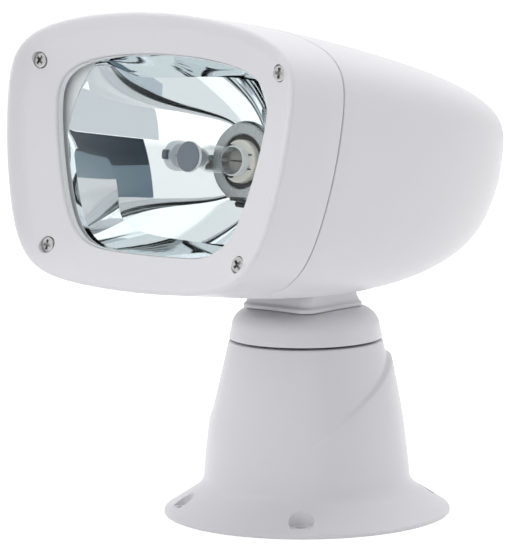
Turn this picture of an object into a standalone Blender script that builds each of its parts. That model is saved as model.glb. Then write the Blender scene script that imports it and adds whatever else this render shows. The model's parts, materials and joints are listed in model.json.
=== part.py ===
"""Marine searchlight: a keystone lamp head that tilts on a turret, which pans on a deck pedestal.

Metres, +Z up. The origin is the centre of the pedestal's underside, and the lens looks along -Y.
Pieces of the head are modelled in the head's own frame: x to the right, u back from the plane
of the bezel's front rim, z up within that plane. The head is then hung on the tilt axis.
"""
import math

import bmesh
import bpy
import numpy as np
from mathutils import Matrix

# Facets round a full turn
LARGE_ROUND = 36
MEDIUM_ROUND = 20
SMALL_ROUND = 14
SCREW_ROUND = 8

# Clearances
GAP = 0.0003                    # between pieces that sit on each other
SLIDE = 0.0006                  # round shafts, screws and sleeves in their holes
SEAM = 0.0012                   # the open seams of the casings
BITE = 0.0010                   # how far a joined or cutting shape reaches past a face
THROUGH = 0.3000                # length of a tool that passes right through
HOLE_SPARE = 0.0015             # from a screw's tip to the end of its hole

# Pedestal
SKIRT_FOOT_RADIUS = 0.0506      # the pedestal's skin where it rises from the flange
FLANGE_WIDTH = 0.0194
FLANGE_EDGE = 0.0012            # height of the flange's upright edge
FLANGE_SLOPE = 0.0120           # height of the sloping flange above its edge
FOOT_RISE = 0.0018              # the step from the slope up to the skin's foot
FOOT_SPREAD = 0.0016
FOOT_SINK = 0.0006
SKIRT_PROUD = 0.0039            # how far the raised skin stands outside the pedestal's top
SKIRT_TOP_Z = 0.0783
SKIRT_SWELL = 0.0013            # how far the skin bows out halfway up
PEDESTAL_TOP_Z = 0.0845
PEDESTAL_TOP_RADIUS = 0.0375
PEDESTAL_TAPER = 0.24           # radius lost for each unit of height above the wave line
PEDESTAL_WALL = 0.0030
DECK_THICKNESS = 0.0035
TOP_EDGE = 0.0006               # small chamfer at the top and on the turret's rim
WAVE_START = math.radians(33)   # the raised skin's edge, by angle from the front
WAVE_END = math.radians(135)
WAVE_LOW_Z = 0.0345
WAVE_HIGH_Z = 0.0775
WAVE_CURVE = 1.4
WAVE_WIDTH = 0.0024             # height over which the raised skin steps back

# Deck fixing holes
DECK_HOLE_MARGIN = 0.0084       # from the flange's edge to the holes
DECK_HOLE_ANGLE = math.radians(37.9)
DECK_HOLE_RADIUS = 0.00275
COUNTERBORE_RADIUS = 0.0060
COUNTERBORE_FLOOR = 0.0040

# Base plate and control board
PLATE_LAP = 0.0041              # how far the plate reaches beyond the skin's foot
PLATE_THICKNESS = 0.0030
PLATE_SCREW_MARGIN = 0.0037
CABLE_HOLE_RADIUS = 0.0060
GROMMET_WALL = 0.0015
CABLE_HOLE_Y = 0.0250
STANDOFF_HEIGHT = 0.0050
STANDOFF_RADIUS = 0.0026
BOARD_CLEARANCE = 0.0071        # from the skin's inner face to the board's front corners
BOARD_CORNER = math.radians(50)  # where those corners lie, from the sides
BOARD_DEPTH = 0.0360
BOARD_THICKNESS = 0.0016
BOARD_INSET = 0.0035            # from the board's edges to its standoffs
TERMINAL_HEIGHT = 0.0085
TERMINAL_DEPTH = 0.0090
TERMINAL_HALF_WIDTH = 0.0180
TERMINAL_SETBACK = 0.0010
TERMINAL_WAYS = 6
WELL_RADIUS = 0.0018
GROMMET_LIP = 0.0018

# Small screws
SCREW_SHANK = 0.0010
SMALL_HEAD = 0.0027
SMALL_HEAD_HEIGHT = 0.0018
PLATE_SCREW_LENGTH = 0.0095

# Gears
TILT_MODULE = 0.00125
MODULE_STEP = 0.00005           # gear cutters come in these steps
PRESSURE_ANGLE = math.radians(20)
ADDENDUM = 0.95                 # tooth heights above and below the pitch line, in modules
DEDENDUM = 1.25
BACKLASH = 0.0004
PINION_TEETH = 12
PAN_GEAR_TEETH = 30
TILT_GEAR_TEETH = 34
PAN_GEAR_WIDTH = 0.0060
TILT_GEAR_WIDTH = 0.0047
PINION_EXTRA = 0.0010           # how much wider a pinion is than its gear

# Pan drive
MOTOR_PLATE_Z = 0.0600
MOTOR_PLATE_MARGIN = 0.0045     # from the pillars' circle to the plate's edge
MOTOR_PLATE_THICKNESS = 0.0030
PILLAR_INSET = 0.0080           # from the pedestal's top edge in to the pillars' circle
PILLAR_RADIUS = 0.0034
PILLAR_BITE = 0.0080            # how far the plate's screws reach into the pillars
PINION_CLEARANCE = 0.0010       # from the pinion's tips to the pedestal's inner face
DRIVE_CLEARANCE = 0.00105       # from the gearbox to that face and to the lower bush
PAN_GEAR_Z = 0.0685
PAN_HUB_RADIUS = 0.0120
PAN_HUB_HEIGHT = 0.0030
GEARBOX_LENGTH = 0.0140
GEARBOX_EDGE = 0.0006
MOTOR_STEP = 0.0010             # how much narrower a motor is than its gearbox
MOTOR_EDGE = 0.0008
MOTOR_BOSS_RADIUS = 0.0035
MOTOR_BOSS_HEIGHT = 0.0015
PAN_MOTOR_LENGTH = 0.0240
DRIVE_SHAFT_RADIUS = 0.0020
GRUB_RADIUS = 0.0009

# Spindle and its bearings
SPINDLE_RADIUS = 0.0080
SPINDLE_BORE = 0.0052
SPINDLE_LOW_Z = 0.0545
SPINDLE_FLANGE_RADIUS = 0.0165
SPINDLE_FLANGE = 0.0025
BUSH_WALL = 0.0024
BUSH_FLANGE = 0.0012
BUSH_LIP = 0.0030
CLIP_DEPTH = 0.0010
CLIP_THICKNESS = 0.0010
CLIP_OUTSIDE = 0.0026
CLIP_OPENING = math.radians(70)
WASHER_RADIUS = 0.0220
WASHER_THICKNESS = 0.0009

# Turret
TURRET_STEP = 0.0001            # how far the turret's rim lies inside the pedestal's top
TURRET_WALL = 0.0030
TURRET_LEAN = 0.0012            # how far the side leans in below the shoulder
TURRET_TOP_Z = 0.1010
SHOULDER_WIDTH = 0.0129         # from the rim in to the edge of the flat top
SHOULDER_DROP = 0.0100
FLOOR_THICKNESS = 0.0030
FLOOR_RECESS = 0.0005           # from the turret's rim up to its floor

# Neck
NECK_SIDE_INSET = 0.0035        # from the edge of the turret's flat top in to the neck
NECK_FRONT_INSET = 0.0015
NECK_REAR_INSET = 0.0055
NECK_FLARE = 0.0016             # how far the foot spreads
NECK_FOOT = 0.0018
NECK_FILLET = 0.0015
NECK_LEAN = 0.0035              # how far the rear wall leans forward up to the shoulder
NECK_FRONT_LEAN = 0.0010
NECK_HEIGHT = 0.0108            # from the foot up to the shoulder
NECK_SHOULDER = 0.0100
NECK_ROUNDING = 2 / 7           # its corners, as a share of its half width
BROW_SHARE = 0.4                # a level part of the way up the shoulder
BROW_SIDE = 0.0012
BROW_FRONT = 0.0040
BROW_REAR = 0.0015
CROWN_FRONT = 0.0100            # the shoulder's top, in from the front and rear walls
CROWN_REAR = 0.0050
CROWN_SIDE = 0.0004
NECK_BORE = 0.0080
NECK_SCREW_LENGTH = 0.0125
EAR_INSET = 0.0015              # from the neck's side in to the ear's outer face
EAR_FRONT = 0.0110
EAR_REAR = 0.0060
EAR_THICKNESS = 0.0050
EAR_RADIUS = 0.0090

# Tilt axis
PIVOT_Z = 0.1320
HEAD_PITCH = math.radians(8.16)  # the head's nose-up angle at rest
TILT_UP = math.radians(25)
TILT_DOWN = math.radians(18)
TILT_SHAFT_RADIUS = 0.0030
SHAFT_GROOVE = 0.0007
SHAFT_CLIP = 0.0008
SHAFT_END = 0.0016              # beyond the clips
DRIVE_ANGLE = math.radians(50)  # the tilt pinion's place above the axis, seen from the rear
SECTOR_HUB = 0.0075
SECTOR_LOBE = 0.0146            # the lobe that is fixed to the ear
LOBE_HALF_ANGLE = math.radians(36)
WAIST_HALF_ANGLE = math.radians(48)

# Head, in its own frame
HEAD_HALF_WIDTH = 0.0872
HEAD_HALF_HEIGHT = 0.0642
HEAD_MIDDLE_Z = 0.0034
HEAD_LEAN = 0.0090              # how much wider the head is at the top than at its middle
HEAD_SWELL = 0.0103             # how far its sides arch in above and below
HEAD_TOP_CROWN = 0.0122         # how far its top and underside fall off to the sides
HEAD_BOTTOM_CROWN = 0.0081
HEAD_SQUARENESS = 7.4
APERTURE_SIDE = 0.0249          # from the head's sides and top in to the aperture
APERTURE_TOP = 0.0178
APERTURE_DROP = 0.0005
APERTURE_LEAN = 0.0103
APERTURE_SWELL = 0.0058
APERTURE_TOP_CROWN = 0.0072
APERTURE_BOTTOM_CROWN = 0.0022
APERTURE_SQUARENESS = 6.5
BEZEL_DEPTH = 0.0360
HOUSING_LENGTH = 0.1830
HEAD_WALL = 0.0030
NOSE_Z = 0.0044
NOSE_ACROSS = (3.25, 2.54)      # how the housing's width and height close to the nose, as the
NOSE_ABOVE = (1.28, 3.98)       # power of the length's share and the root that is taken
NOSE_BELOW = (2.25, 1.63)
RIM_ROUND = 0.0014
BORDER_WIDTH = 0.0070
BORDER_DEPTH = 0.0050
DISH_DEPTH = 0.0102             # from the rim plane back to the aperture's edge
LIP_THICKNESS = 0.0020
LENS_LAP = 0.0045               # how far the lens reaches behind the bezel
LENS_SPARE = 0.0010
GASKET_THICKNESS = 0.0015
GASKET_SETBACK = 0.0006         # from the aperture's edge back to the gasket's
SEAL_SETBACK = 0.0010           # from the housing's skin in to the seam's seal
LENS_THICKNESS = 0.0030
SLOT_SIDE = 0.0015              # the underside's slot, outwards from the neck
SLOT_AHEAD = 0.0100
SLOT_BEHIND = 0.0120
SLOT_CORNER = 0.0070
HEAD_STATIONS = 36              # points around every section of the head

# Face screws, seen from the front
TOP_SCREW_SIDE = 0.0124         # in from the head's widest place and its height
TOP_SCREW_DROP = 0.0209
BOTTOM_SCREW_SIDE = 0.0273
BOTTOM_SCREW_RISE = 0.0210
FACE_SCREW_HEAD = 0.0040
FACE_SCREW_U = 0.0066
FACE_SCREW_SHANK = 0.0016
FACE_SCREW_REACH = 0.0480
POST_RADIUS = 0.0052
POST_DEPTH = 0.0160
POST_RIB = 0.0032
FACE_HEAD_HEIGHT = 0.0015

# Reflector and lamp
LAMP_Z = 0.0035
FOCAL_LENGTH = 0.0173
VERTEX_U = 0.0770
REFLECTOR_WALL = 0.0012
REFLECTOR_FLANGE = 0.0012
LAMP_HOLE_RADIUS = 0.0160
LAMP_COLLAR = 0.0006            # from the lamp's ring out to the last ring of the bowl
LAMP_RING_RADIUS = 0.0184
LAMP_RING_THICKNESS = 0.0013
LAMP_RING_EDGE = 0.0004
LAMP_SLEEVE_RADIUS = 0.0154
LAMP_SLEEVE_DEPTH = 0.0100
LAMP_BASE_RADIUS = 0.0124
LAMP_BASE_RECESS = 0.0032       # the base lies this far behind the ring's face
HOLDER_SEAT = 0.0020
HOLDER_RADIUS = 0.0200
HOLDER_DEPTH = 0.0200
HOLDER_WALL = 0.0030
HOLDER_EDGE = 0.0020
BULB_RADIUS = 0.0065
BULB_TIP_U = 0.0450
BULB_GLASS = 0.0009
FILAMENT_RADIUS = 0.0009
FILAMENT_SPREAD = 0.0026        # from the lamp's axis to the filament's support wires
SUPPORT_WIRE = 0.0004
GLARE_CAP_RADIUS = 0.0070
GLARE_CAP_U = 0.0335
GLARE_CAP_DEPTH = 0.0036
GLARE_CAP_WALL = 0.0009
GLARE_CAP_CROWN = 0.0002
GLARE_STEM_RADIUS = 0.0009
LUG_REACH = 0.0014
LUG_HALF_WIDTH = 0.0014
LUG_SETBACK = 0.0006

# Tilt bracket
ARM_CLEARANCE = 0.0035          # from the gear sector out to the bracket's arms
HOLDER_CLEARANCE = 0.0052       # from the lamp's holder back to the bracket
BRACKET_AHEAD = 0.0223          # the bracket's ends, from the tilt axis
BRACKET_BEHIND = 0.0237
BRACKET_SHEET = 0.0025
BRACKET_FOOT_WIDTH = 0.0105
FOOT_CLEARANCE = 0.0013         # from the housing's floor up to the bracket's feet
FOOT_DROP = 0.0083              # from the tilt axis down to the feet
WEB_RISE = 0.0347               # from the tilt axis up to the web
BRACKET_SCREW_SIDE = 0.0055     # from an arm out to the foot's screws
BRACKET_SCREW_END = 0.0065      # from the bracket's ends to its screws
BRACKET_BOSS_RADIUS = 0.0038
BRACKET_BITE = 0.0020           # how far its screws reach into the bosses
MOTOR_END_ROOM = 0.0241         # from the tilt motor's end to the head's widest place
BRACKET_WINDOW = 0.0100
TILT_BUSH_WALL = 0.0016
TILT_BUSH_LIP = 0.0018

# Values worked out from the sizes above
FLANGE_RADIUS = SKIRT_FOOT_RADIUS + FLANGE_WIDTH
DECK_HOLE_CIRCLE = FLANGE_RADIUS - DECK_HOLE_MARGIN
SKIRT_TOP_RADIUS = PEDESTAL_TOP_RADIUS + SKIRT_PROUD
SKIRT_FOOT_Z = FLANGE_EDGE + FLANGE_SLOPE + FOOT_RISE
DECK_UNDERSIDE_Z = PEDESTAL_TOP_Z - DECK_THICKNESS
LEDGE_Z = PLATE_THICKNESS + GAP
PLATE_RADIUS = SKIRT_FOOT_RADIUS + PLATE_LAP
PLATE_SCREW_CIRCLE = PLATE_RADIUS - PLATE_SCREW_MARGIN
BOARD_REACH = SKIRT_FOOT_RADIUS - PEDESTAL_WALL - BOARD_CLEARANCE
BOARD_HALF_WIDTH = BOARD_REACH * math.cos(BOARD_CORNER)
BOARD_FRONT_Y = -BOARD_REACH * math.sin(BOARD_CORNER)
BOARD_Z = PLATE_THICKNESS + STANDOFF_HEIGHT + GAP
BUSH_BORE = SPINDLE_RADIUS + SLIDE / 2
BUSH_RADIUS = BUSH_BORE + BUSH_WALL
BUSH_SEAT = BUSH_RADIUS + GAP
MOTOR_PLATE_TOP = MOTOR_PLATE_Z + MOTOR_PLATE_THICKNESS
PILLAR_CIRCLE = PEDESTAL_TOP_RADIUS - PILLAR_INSET
MOTOR_PLATE_RADIUS = PILLAR_CIRCLE + MOTOR_PLATE_MARGIN
PILLAR_HOLE_TOP = MOTOR_PLATE_TOP + PILLAR_BITE + HOLE_SPARE
CLIP_Z = MOTOR_PLATE_Z - GAP - BUSH_FLANGE - GAP - CLIP_THICKNESS
TURRET_RADIUS = PEDESTAL_TOP_RADIUS - TURRET_STEP
SHOULDER_RADIUS = TURRET_RADIUS - SHOULDER_WIDTH
TURRET_RIM_Z = PEDESTAL_TOP_Z + SEAM
FLOOR_Z = max(TURRET_RIM_Z + FLOOR_RECESS, PEDESTAL_TOP_Z + WASHER_THICKNESS + 2 * GAP)
FLOOR_TOP = FLOOR_Z + FLOOR_THICKNESS
TURRET_BORE = TURRET_RADIUS - TURRET_LEAN - TURRET_WALL
TURRET_CEILING = TURRET_TOP_Z - TURRET_WALL
SPINDLE_FLANGE_Z = FLOOR_TOP + GAP
NECK_HALF_WIDTH = SHOULDER_RADIUS - NECK_SIDE_INSET
NECK_FRONT_Y = NECK_FRONT_INSET - SHOULDER_RADIUS
NECK_REAR_Y = SHOULDER_RADIUS - NECK_REAR_INSET
NECK_CORNER = NECK_HALF_WIDTH * NECK_ROUNDING
NECK_FOOT_Z = TURRET_TOP_Z + GAP
NECK_SHOULDER_Z = NECK_FOOT_Z + NECK_HEIGHT
NECK_TOP_Z = NECK_SHOULDER_Z + NECK_SHOULDER
NECK_SCREW_Z = TURRET_CEILING - GAP - SMALL_HEAD_HEIGHT
EAR_OUTSIDE = NECK_HALF_WIDTH - EAR_INSET
SECTOR_X = EAR_OUTSIDE + GAP
SECTOR_OUTSIDE = SECTOR_X + TILT_GEAR_WIDTH
TILT_CENTRES = TILT_MODULE * (TILT_GEAR_TEETH + PINION_TEETH) / 2
BEZEL_REAR_U = BEZEL_DEPTH - SEAM / 2
HOUSING_FRONT_U = BEZEL_DEPTH + SEAM / 2
LIP_REAR_U = DISH_DEPTH + LIP_THICKNESS
GASKET_U = LIP_REAR_U + GAP
LENS_U = GASKET_U + GASKET_THICKNESS + GAP
REFLECTOR_U = LENS_U + LENS_THICKNESS + GAP
REFLECTOR_BACK_U = REFLECTOR_U + REFLECTOR_FLANGE
HOLDER_FRONT_U = VERTEX_U - LAMP_HOLE_RADIUS ** 2 / (4 * FOCAL_LENGTH) + REFLECTOR_WALL + GAP
HOLDER_REAR_U = HOLDER_FRONT_U + HOLDER_DEPTH
BRACKET_FRONT_U = HOLDER_REAR_U + HOLDER_CLEARANCE
PIVOT_U = BRACKET_FRONT_U + BRACKET_AHEAD
BRACKET_REAR_U = PIVOT_U + BRACKET_BEHIND
ARM_X = SECTOR_OUTSIDE + ARM_CLEARANCE
ARM_OUTSIDE = ARM_X + BRACKET_SHEET
FOOT_OUTSIDE = ARM_OUTSIDE + BRACKET_FOOT_WIDTH
BRACKET_SCREW_X = ARM_OUTSIDE + BRACKET_SCREW_SIDE
TILT_GEARBOX_X = ARM_OUTSIDE + GAP
TILT_MOTOR_X = TILT_GEARBOX_X + GEARBOX_LENGTH + GAP
TILT_MOTOR_END = HEAD_HALF_WIDTH - MOTOR_END_ROOM


class Outline:
    """A keystone with a crowned top, arched sides that lean in downwards, and full corners."""

    def __init__(self, middle, half_height, half_width, lean, swell, crown_top, crown_bottom, power):
        self.middle = middle
        self.half_height = half_height
        self.half_width = half_width
        self.lean = lean
        self.swell = swell
        self.crown_top = crown_top
        self.crown_bottom = crown_bottom
        self.power = power

    def level(self, x, z):
        """Is 1 on the outline and less than 1 inside it."""
        rise = (z - self.middle) / self.half_height
        width = self.half_width + self.lean * rise - self.swell * rise ** 2
        crown = np.where(rise > 0, self.crown_top, self.crown_bottom)
        height = self.half_height - crown * (x / self.half_width) ** 2
        across = np.abs(x) / width
        upward = np.abs(z - self.middle) / height
        return (across ** self.power + upward ** self.power) ** (1 / self.power)

    def points(self, angles):
        """Points on the outline in the given directions from its middle."""
        near = np.zeros_like(angles)
        far = np.full_like(angles, 1.25 * math.hypot(self.half_width, self.half_height))
        for _ in range(40):
            middle = (near + far) / 2
            inside = self.level(middle * np.cos(angles), self.middle + middle * np.sin(angles)) < 1
            near = np.where(inside, middle, near)
            far = np.where(inside, far, middle)
        return np.stack([near * np.cos(angles), self.middle + near * np.sin(angles)], axis=1)

    def directions(self, count, corner_weight=0.030):
        """Directions spaced by length along the outline, closer together round its corners."""
        angles = np.linspace(0, 2 * math.pi, 1441)
        points = self.points(angles)
        steps = np.diff(points, axis=0)
        lengths = np.hypot(steps[:, 0], steps[:, 1])
        headings = np.unwrap(np.arctan2(steps[:, 1], steps[:, 0]))
        turns = np.abs(np.diff(headings, append=headings[0] + 2 * math.pi))
        travel = np.concatenate([[0], np.cumsum(lengths + corner_weight * turns)])
        return np.interp(np.arange(count) / count * travel[-1], travel, angles)


RIM = Outline(HEAD_MIDDLE_Z, HEAD_HALF_HEIGHT, HEAD_HALF_WIDTH, HEAD_LEAN, HEAD_SWELL,
              HEAD_TOP_CROWN, HEAD_BOTTOM_CROWN, HEAD_SQUARENESS)
APERTURE = Outline(HEAD_MIDDLE_Z - APERTURE_DROP, HEAD_HALF_HEIGHT - APERTURE_TOP,
                   HEAD_HALF_WIDTH - APERTURE_SIDE, APERTURE_LEAN, APERTURE_SWELL,
                   APERTURE_TOP_CROWN, APERTURE_BOTTOM_CROWN, APERTURE_SQUARENESS)
STATIONS = RIM.directions(HEAD_STATIONS)


# Room inside the pedestal and the head

def skirt_radius(z):
    """The raised skin of the pedestal."""
    t = (z - SKIRT_FOOT_Z) / (SKIRT_TOP_Z - SKIRT_FOOT_Z)
    straight = SKIRT_FOOT_RADIUS + (SKIRT_TOP_RADIUS - SKIRT_FOOT_RADIUS) * t
    return straight + 4 * SKIRT_SWELL * t * (1 - t)


def cone_radius(z):
    """The plain taper above the wave line, which never stands proud of the raised skin."""
    cone = PEDESTAL_TOP_RADIUS + PEDESTAL_TAPER * (PEDESTAL_TOP_Z - z)
    return min(cone, skirt_radius(z))


def cavity_radius(z):
    """The pedestal's inner face: one taper from the ledge over the base plate up to the deck."""
    share = (z - LEDGE_Z) / (DECK_UNDERSIDE_Z - LEDGE_Z)
    foot, top = cone_radius(LEDGE_Z), cone_radius(DECK_UNDERSIDE_Z)
    return foot + (top - foot) * share - PEDESTAL_WALL


def fade(t, curve):
    """How much of the housing's width or height is left at a share t of its length."""
    power, root = curve
    return (1 - t ** power) ** (1 / root)


def edge_height(outline, x, up):
    """The outline's z above or below a place x."""
    points = outline.points(np.linspace(0, up * math.pi, 361))
    order = np.argsort(points[:, 0])
    return float(np.interp(x, points[order, 0], points[order, 1]))


def housing_floor(x, u):
    """The height of the housing's underside, on its outer face."""
    t = (u - HOUSING_FRONT_U) / (HOUSING_LENGTH - SEAM / 2)
    rise = edge_height(RIM, x / fade(t, NOSE_ACROSS), -1) - NOSE_Z
    return NOSE_Z + rise * fade(t, NOSE_BELOW)


# The pan pinion is as large as the pedestal's inner face allows, and its gearbox lies between
# that face and the lower bush. The bracket's feet follow the housing's floor.
PINION_TOP_Z = PAN_GEAR_Z + PAN_GEAR_WIDTH + PINION_EXTRA / 2
PAN_SPAN = PAN_GEAR_TEETH / 2 + PINION_TEETH + ADDENDUM
PAN_ROOM = cavity_radius(PINION_TOP_Z) - PINION_CLEARANCE
PAN_MODULE = MODULE_STEP * math.floor(PAN_ROOM / (PAN_SPAN * MODULE_STEP))
PAN_CENTRES = PAN_MODULE * (PAN_GEAR_TEETH + PINION_TEETH) / 2
GEARBOX_RADIUS = min(PAN_CENTRES - BUSH_RADIUS - BUSH_LIP,
                     cavity_radius(MOTOR_PLATE_Z) - PAN_CENTRES) - DRIVE_CLEARANCE
MOTOR_RADIUS = GEARBOX_RADIUS - MOTOR_STEP
BRACKET_FOOT_Z = round(housing_floor(FOOT_OUTSIDE, BRACKET_REAR_U) + HEAD_WALL + FOOT_CLEARANCE, 4)
BRACKET_FOOT_TOP = BRACKET_FOOT_Z + BRACKET_SHEET
PIVOT_DROP = -BRACKET_FOOT_Z - FOOT_DROP
BRACKET_WEB_Z = WEB_RISE - PIVOT_DROP


# Shapes

def loft(rows, cyclic=False, cap_start=False, cap_end=False):
    """Skins rows of points in order. A row of one point is a pole, and an end row can be capped."""
    shape = bmesh.new()
    rings = [[shape.verts.new(point) for point in row] for row in rows]
    pairs = list(zip(rings, rings[1:]))
    if cyclic:
        pairs.append((rings[-1], rings[0]))
    for lower, upper in pairs:
        count = max(len(lower), len(upper))
        for i in range(count):
            j = (i + 1) % count
            corners = (lower[i % len(lower)], lower[j % len(lower)],
                       upper[j % len(upper)], upper[i % len(upper)])
            shape.faces.new(list(dict.fromkeys(corners)))
    if cap_start:
        shape.faces.new(rings[0])
    if cap_end:
        shape.faces.new(rings[-1])
    bmesh.ops.recalc_face_normals(shape, faces=shape.faces)
    return shape


def turned(profile, segments=MEDIUM_ROUND):
    """Turns (radius, height) points about Z. A profile off the axis closes on itself.

    An end that runs flat to the axis becomes one face, any other end a fan round a pole.
    """
    angles = [2 * math.pi * i / segments for i in range(segments)]
    solid = profile[0][0] == 0
    flat_start = solid and profile[0][1] == profile[1][1]
    flat_end = solid and profile[-1][1] == profile[-2][1]
    rows = []
    for radius, height in profile[flat_start:len(profile) - flat_end]:
        if radius == 0:
            rows.append([(0, 0, height)])
        else:
            rows.append([(radius * math.cos(a), radius * math.sin(a), height) for a in angles])
    return loft(rows, cyclic=not solid, cap_start=flat_start, cap_end=flat_end)


def disc(radius, low, high, segments=MEDIUM_ROUND, edge=0.0):
    """A solid turned disc or rod, with an optional chamfer on both edges."""
    profile = [(0, low), (radius - edge, low), (radius, low + edge),
               (radius, high - edge), (radius - edge, high), (0, high)]
    return turned(list(dict.fromkeys(profile)), segments)


def tube(outside, inside, low, high, segments=MEDIUM_ROUND):
    """A plain ring or sleeve."""
    return turned([(inside, low), (outside, low), (outside, high), (inside, high)], segments)


def prism(outline, low, high):
    """An outline of (x, y) points, extruded up Z."""
    shape = bmesh.new()
    bottom = [shape.verts.new((x, y, low)) for x, y in outline]
    top = [shape.verts.new((x, y, high)) for x, y in outline]
    shape.faces.new(bottom)
    shape.faces.new(top)
    for i in range(len(outline)):
        j = (i + 1) % len(outline)
        shape.faces.new((bottom[i], bottom[j], top[j], top[i]))
    bmesh.ops.recalc_face_normals(shape, faces=shape.faces)
    return shape


def box(low, high):
    """A block between two corners."""
    outline = [(low[0], low[1]), (high[0], low[1]), (high[0], high[1]), (low[0], high[1])]
    return prism(outline, low[2], high[2])


def arc(centre, radius, start, end, steps):
    """Points along an arc, both ends included."""
    angles = [start + (end - start) * i / steps for i in range(steps + 1)]
    return [(centre[0] + radius * math.cos(a), centre[1] + radius * math.sin(a)) for a in angles]


def rounded_rectangle(left, right, front, rear, corner, steps=3):
    """A rectangle of (x, y) points with round corners."""
    quarter = math.pi / 2
    corners = [((right - corner, rear - corner), 0), ((left + corner, rear - corner), 1),
               ((left + corner, front + corner), 2), ((right - corner, front + corner), 3)]
    return [point for centre, k in corners
            for point in arc(centre, corner, k * quarter, (k + 1) * quarter, steps)]


def gear_outline(module, teeth, marked=None, rim=None, phase=0.0):
    """Involute teeth as (x, y) points. Where marked is given, the other teeth are left off."""
    pitch_radius = module * teeth / 2
    base_radius = pitch_radius * math.cos(PRESSURE_ANGLE)
    tip_radius = pitch_radius + ADDENDUM * module
    root_radius = pitch_radius - DEDENDUM * module

    def involute(angle):
        return math.tan(angle) - angle

    def half_width(radius):
        roll = math.acos(min(1.0, base_radius / radius))
        at_pitch = math.pi / (2 * teeth) - BACKLASH / (2 * pitch_radius)
        return at_pitch + involute(PRESSURE_ANGLE) - involute(roll)

    flank = [(root_radius, half_width(max(base_radius, root_radius)))]
    flank += [(radius, half_width(radius)) for radius in (pitch_radius, tip_radius)]
    outline = []
    for k in range(teeth) if marked is None else marked:
        middle = phase + 2 * math.pi * k / teeth
        for radius, width in flank:
            outline.append((radius * math.cos(middle - width), radius * math.sin(middle - width)))
        for radius, width in reversed(flank):
            outline.append((radius * math.cos(middle + width), radius * math.sin(middle + width)))
    if rim is not None:
        outline += rim
    return outline


def moved(shape, x=0.0, y=0.0, z=0.0):
    """The shape, shifted."""
    bmesh.ops.translate(shape, verts=shape.verts, vec=(x, y, z))
    return shape


def laid(shape, axis):
    """The shape with its +Z turned to +X, +Y or -Z."""
    turns = {'X': (90, 'Y'), 'Y': (-90, 'X'), '-Z': (180, 'X')}
    degrees, about = turns[axis]
    shape.transform(Matrix.Rotation(math.radians(degrees), 4, about))
    return shape


def group(shapes):
    """Separate shapes in one mesh."""
    whole = bmesh.new()
    for shape in shapes:
        scratch = bpy.data.meshes.new('scratch')
        shape.to_mesh(scratch)
        whole.from_mesh(scratch)
        bpy.data.meshes.remove(scratch)
        shape.free()
    return whole


def combined(body, tools, operation):
    """The body after one Boolean with each tool, all of which it uses up."""
    def stand_in(shape):
        mesh = bpy.data.meshes.new('stand_in')
        shape.to_mesh(mesh)
        shape.free()
        item = bpy.data.objects.new('stand_in', mesh)
        bpy.context.scene.collection.objects.link(item)
        return item

    host = stand_in(body)
    guides = [stand_in(tool) for tool in tools]
    for guide in guides:
        modifier = host.modifiers.new('boolean', 'BOOLEAN')
        modifier.operation = operation
        modifier.solver = 'EXACT'
        modifier.object = guide
    bpy.context.view_layer.update()
    ready = host.evaluated_get(bpy.context.evaluated_depsgraph_get())
    mesh = bpy.data.meshes.new_from_object(ready)
    result = bmesh.new()
    result.from_mesh(mesh)
    bpy.data.meshes.remove(mesh)
    for item in [host] + guides:
        old = item.data
        bpy.data.objects.remove(item)
        bpy.data.meshes.remove(old)
    return result


def cut(body, *tools):
    """The body with every tool taken away."""
    return combined(body, tools, 'DIFFERENCE')


def joined(body, *tools):
    """The body with every tool fused on."""
    return combined(body, tools, 'UNION')


def spots(shape_maker, places):
    """One shape at each (x, y) place."""
    return group([moved(shape_maker(), x, y) for x, y in places])


def around(radius, angles):
    """Places on a circle."""
    return [(radius * math.cos(a), radius * math.sin(a)) for a in angles]


def screw(head_radius, head_height, shank_radius, length, countersunk=False, segments=SCREW_ROUND):
    """A screw whose head lies under z = 0 and whose shank points down."""
    edge = 0.2 * head_height if countersunk else head_height
    profile = [(0, 0), (head_radius, 0), (head_radius, -edge), (shank_radius, -head_height),
               (shank_radius, -length), (0, -length)]
    return turned(profile, segments)


def circlip(inside, thickness, low):
    """A spring clip: a ring with an opening."""
    opening = CLIP_OPENING / 2
    sweep = 2 * math.pi - CLIP_OPENING
    outside = inside + CLIP_OUTSIDE
    outline = arc((0, 0), outside, opening, opening + sweep, 12)
    outline += arc((0, 0), inside, opening + sweep, opening, 12)
    return prism(outline, low, low + thickness)


# Objects

def material(name, colour, roughness, metallic=0.0, transmission=0.0, alpha=1.0):
    """A plain Principled material."""
    result = bpy.data.materials.new(name)
    result.use_nodes = True
    shader = result.node_tree.nodes['Principled BSDF']
    shader.inputs['Base Color'].default_value = (*colour, 1)
    shader.inputs['Roughness'].default_value = roughness
    shader.inputs['Metallic'].default_value = metallic
    shader.inputs['Transmission Weight'].default_value = transmission
    shader.inputs['Alpha'].default_value = alpha
    return result


def piece(name, shape, finish, parent=None, location=(0, 0, 0)):
    """A named object from a shape."""
    mesh = bpy.data.meshes.new(name)
    shape.to_mesh(mesh)
    shape.free()
    mesh.materials.append(finish)
    mesh.shade_smooth()
    mesh.set_sharp_from_angle(angle=math.radians(32))
    item = bpy.data.objects.new(name, mesh)
    item.parent = parent
    item.location = location
    bpy.context.scene.collection.objects.link(item)
    return item


def head_piece(name, shape, finish, tilt_axis):
    """A named object of the head, whose shape is in the head's own frame."""
    return piece(name, moved(shape, 0, -PIVOT_U, PIVOT_DROP), finish, tilt_axis)


# Pedestal

def wave_height(angle):
    """The height of the raised skin's edge at an angle from the front."""
    t = (abs(angle) - WAVE_START) / (WAVE_END - WAVE_START)
    t = min(max(t, 0.0), 1.0)
    return WAVE_LOW_Z + (WAVE_HIGH_Z - WAVE_LOW_Z) * (1 - (1 - t) ** WAVE_CURVE)


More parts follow.
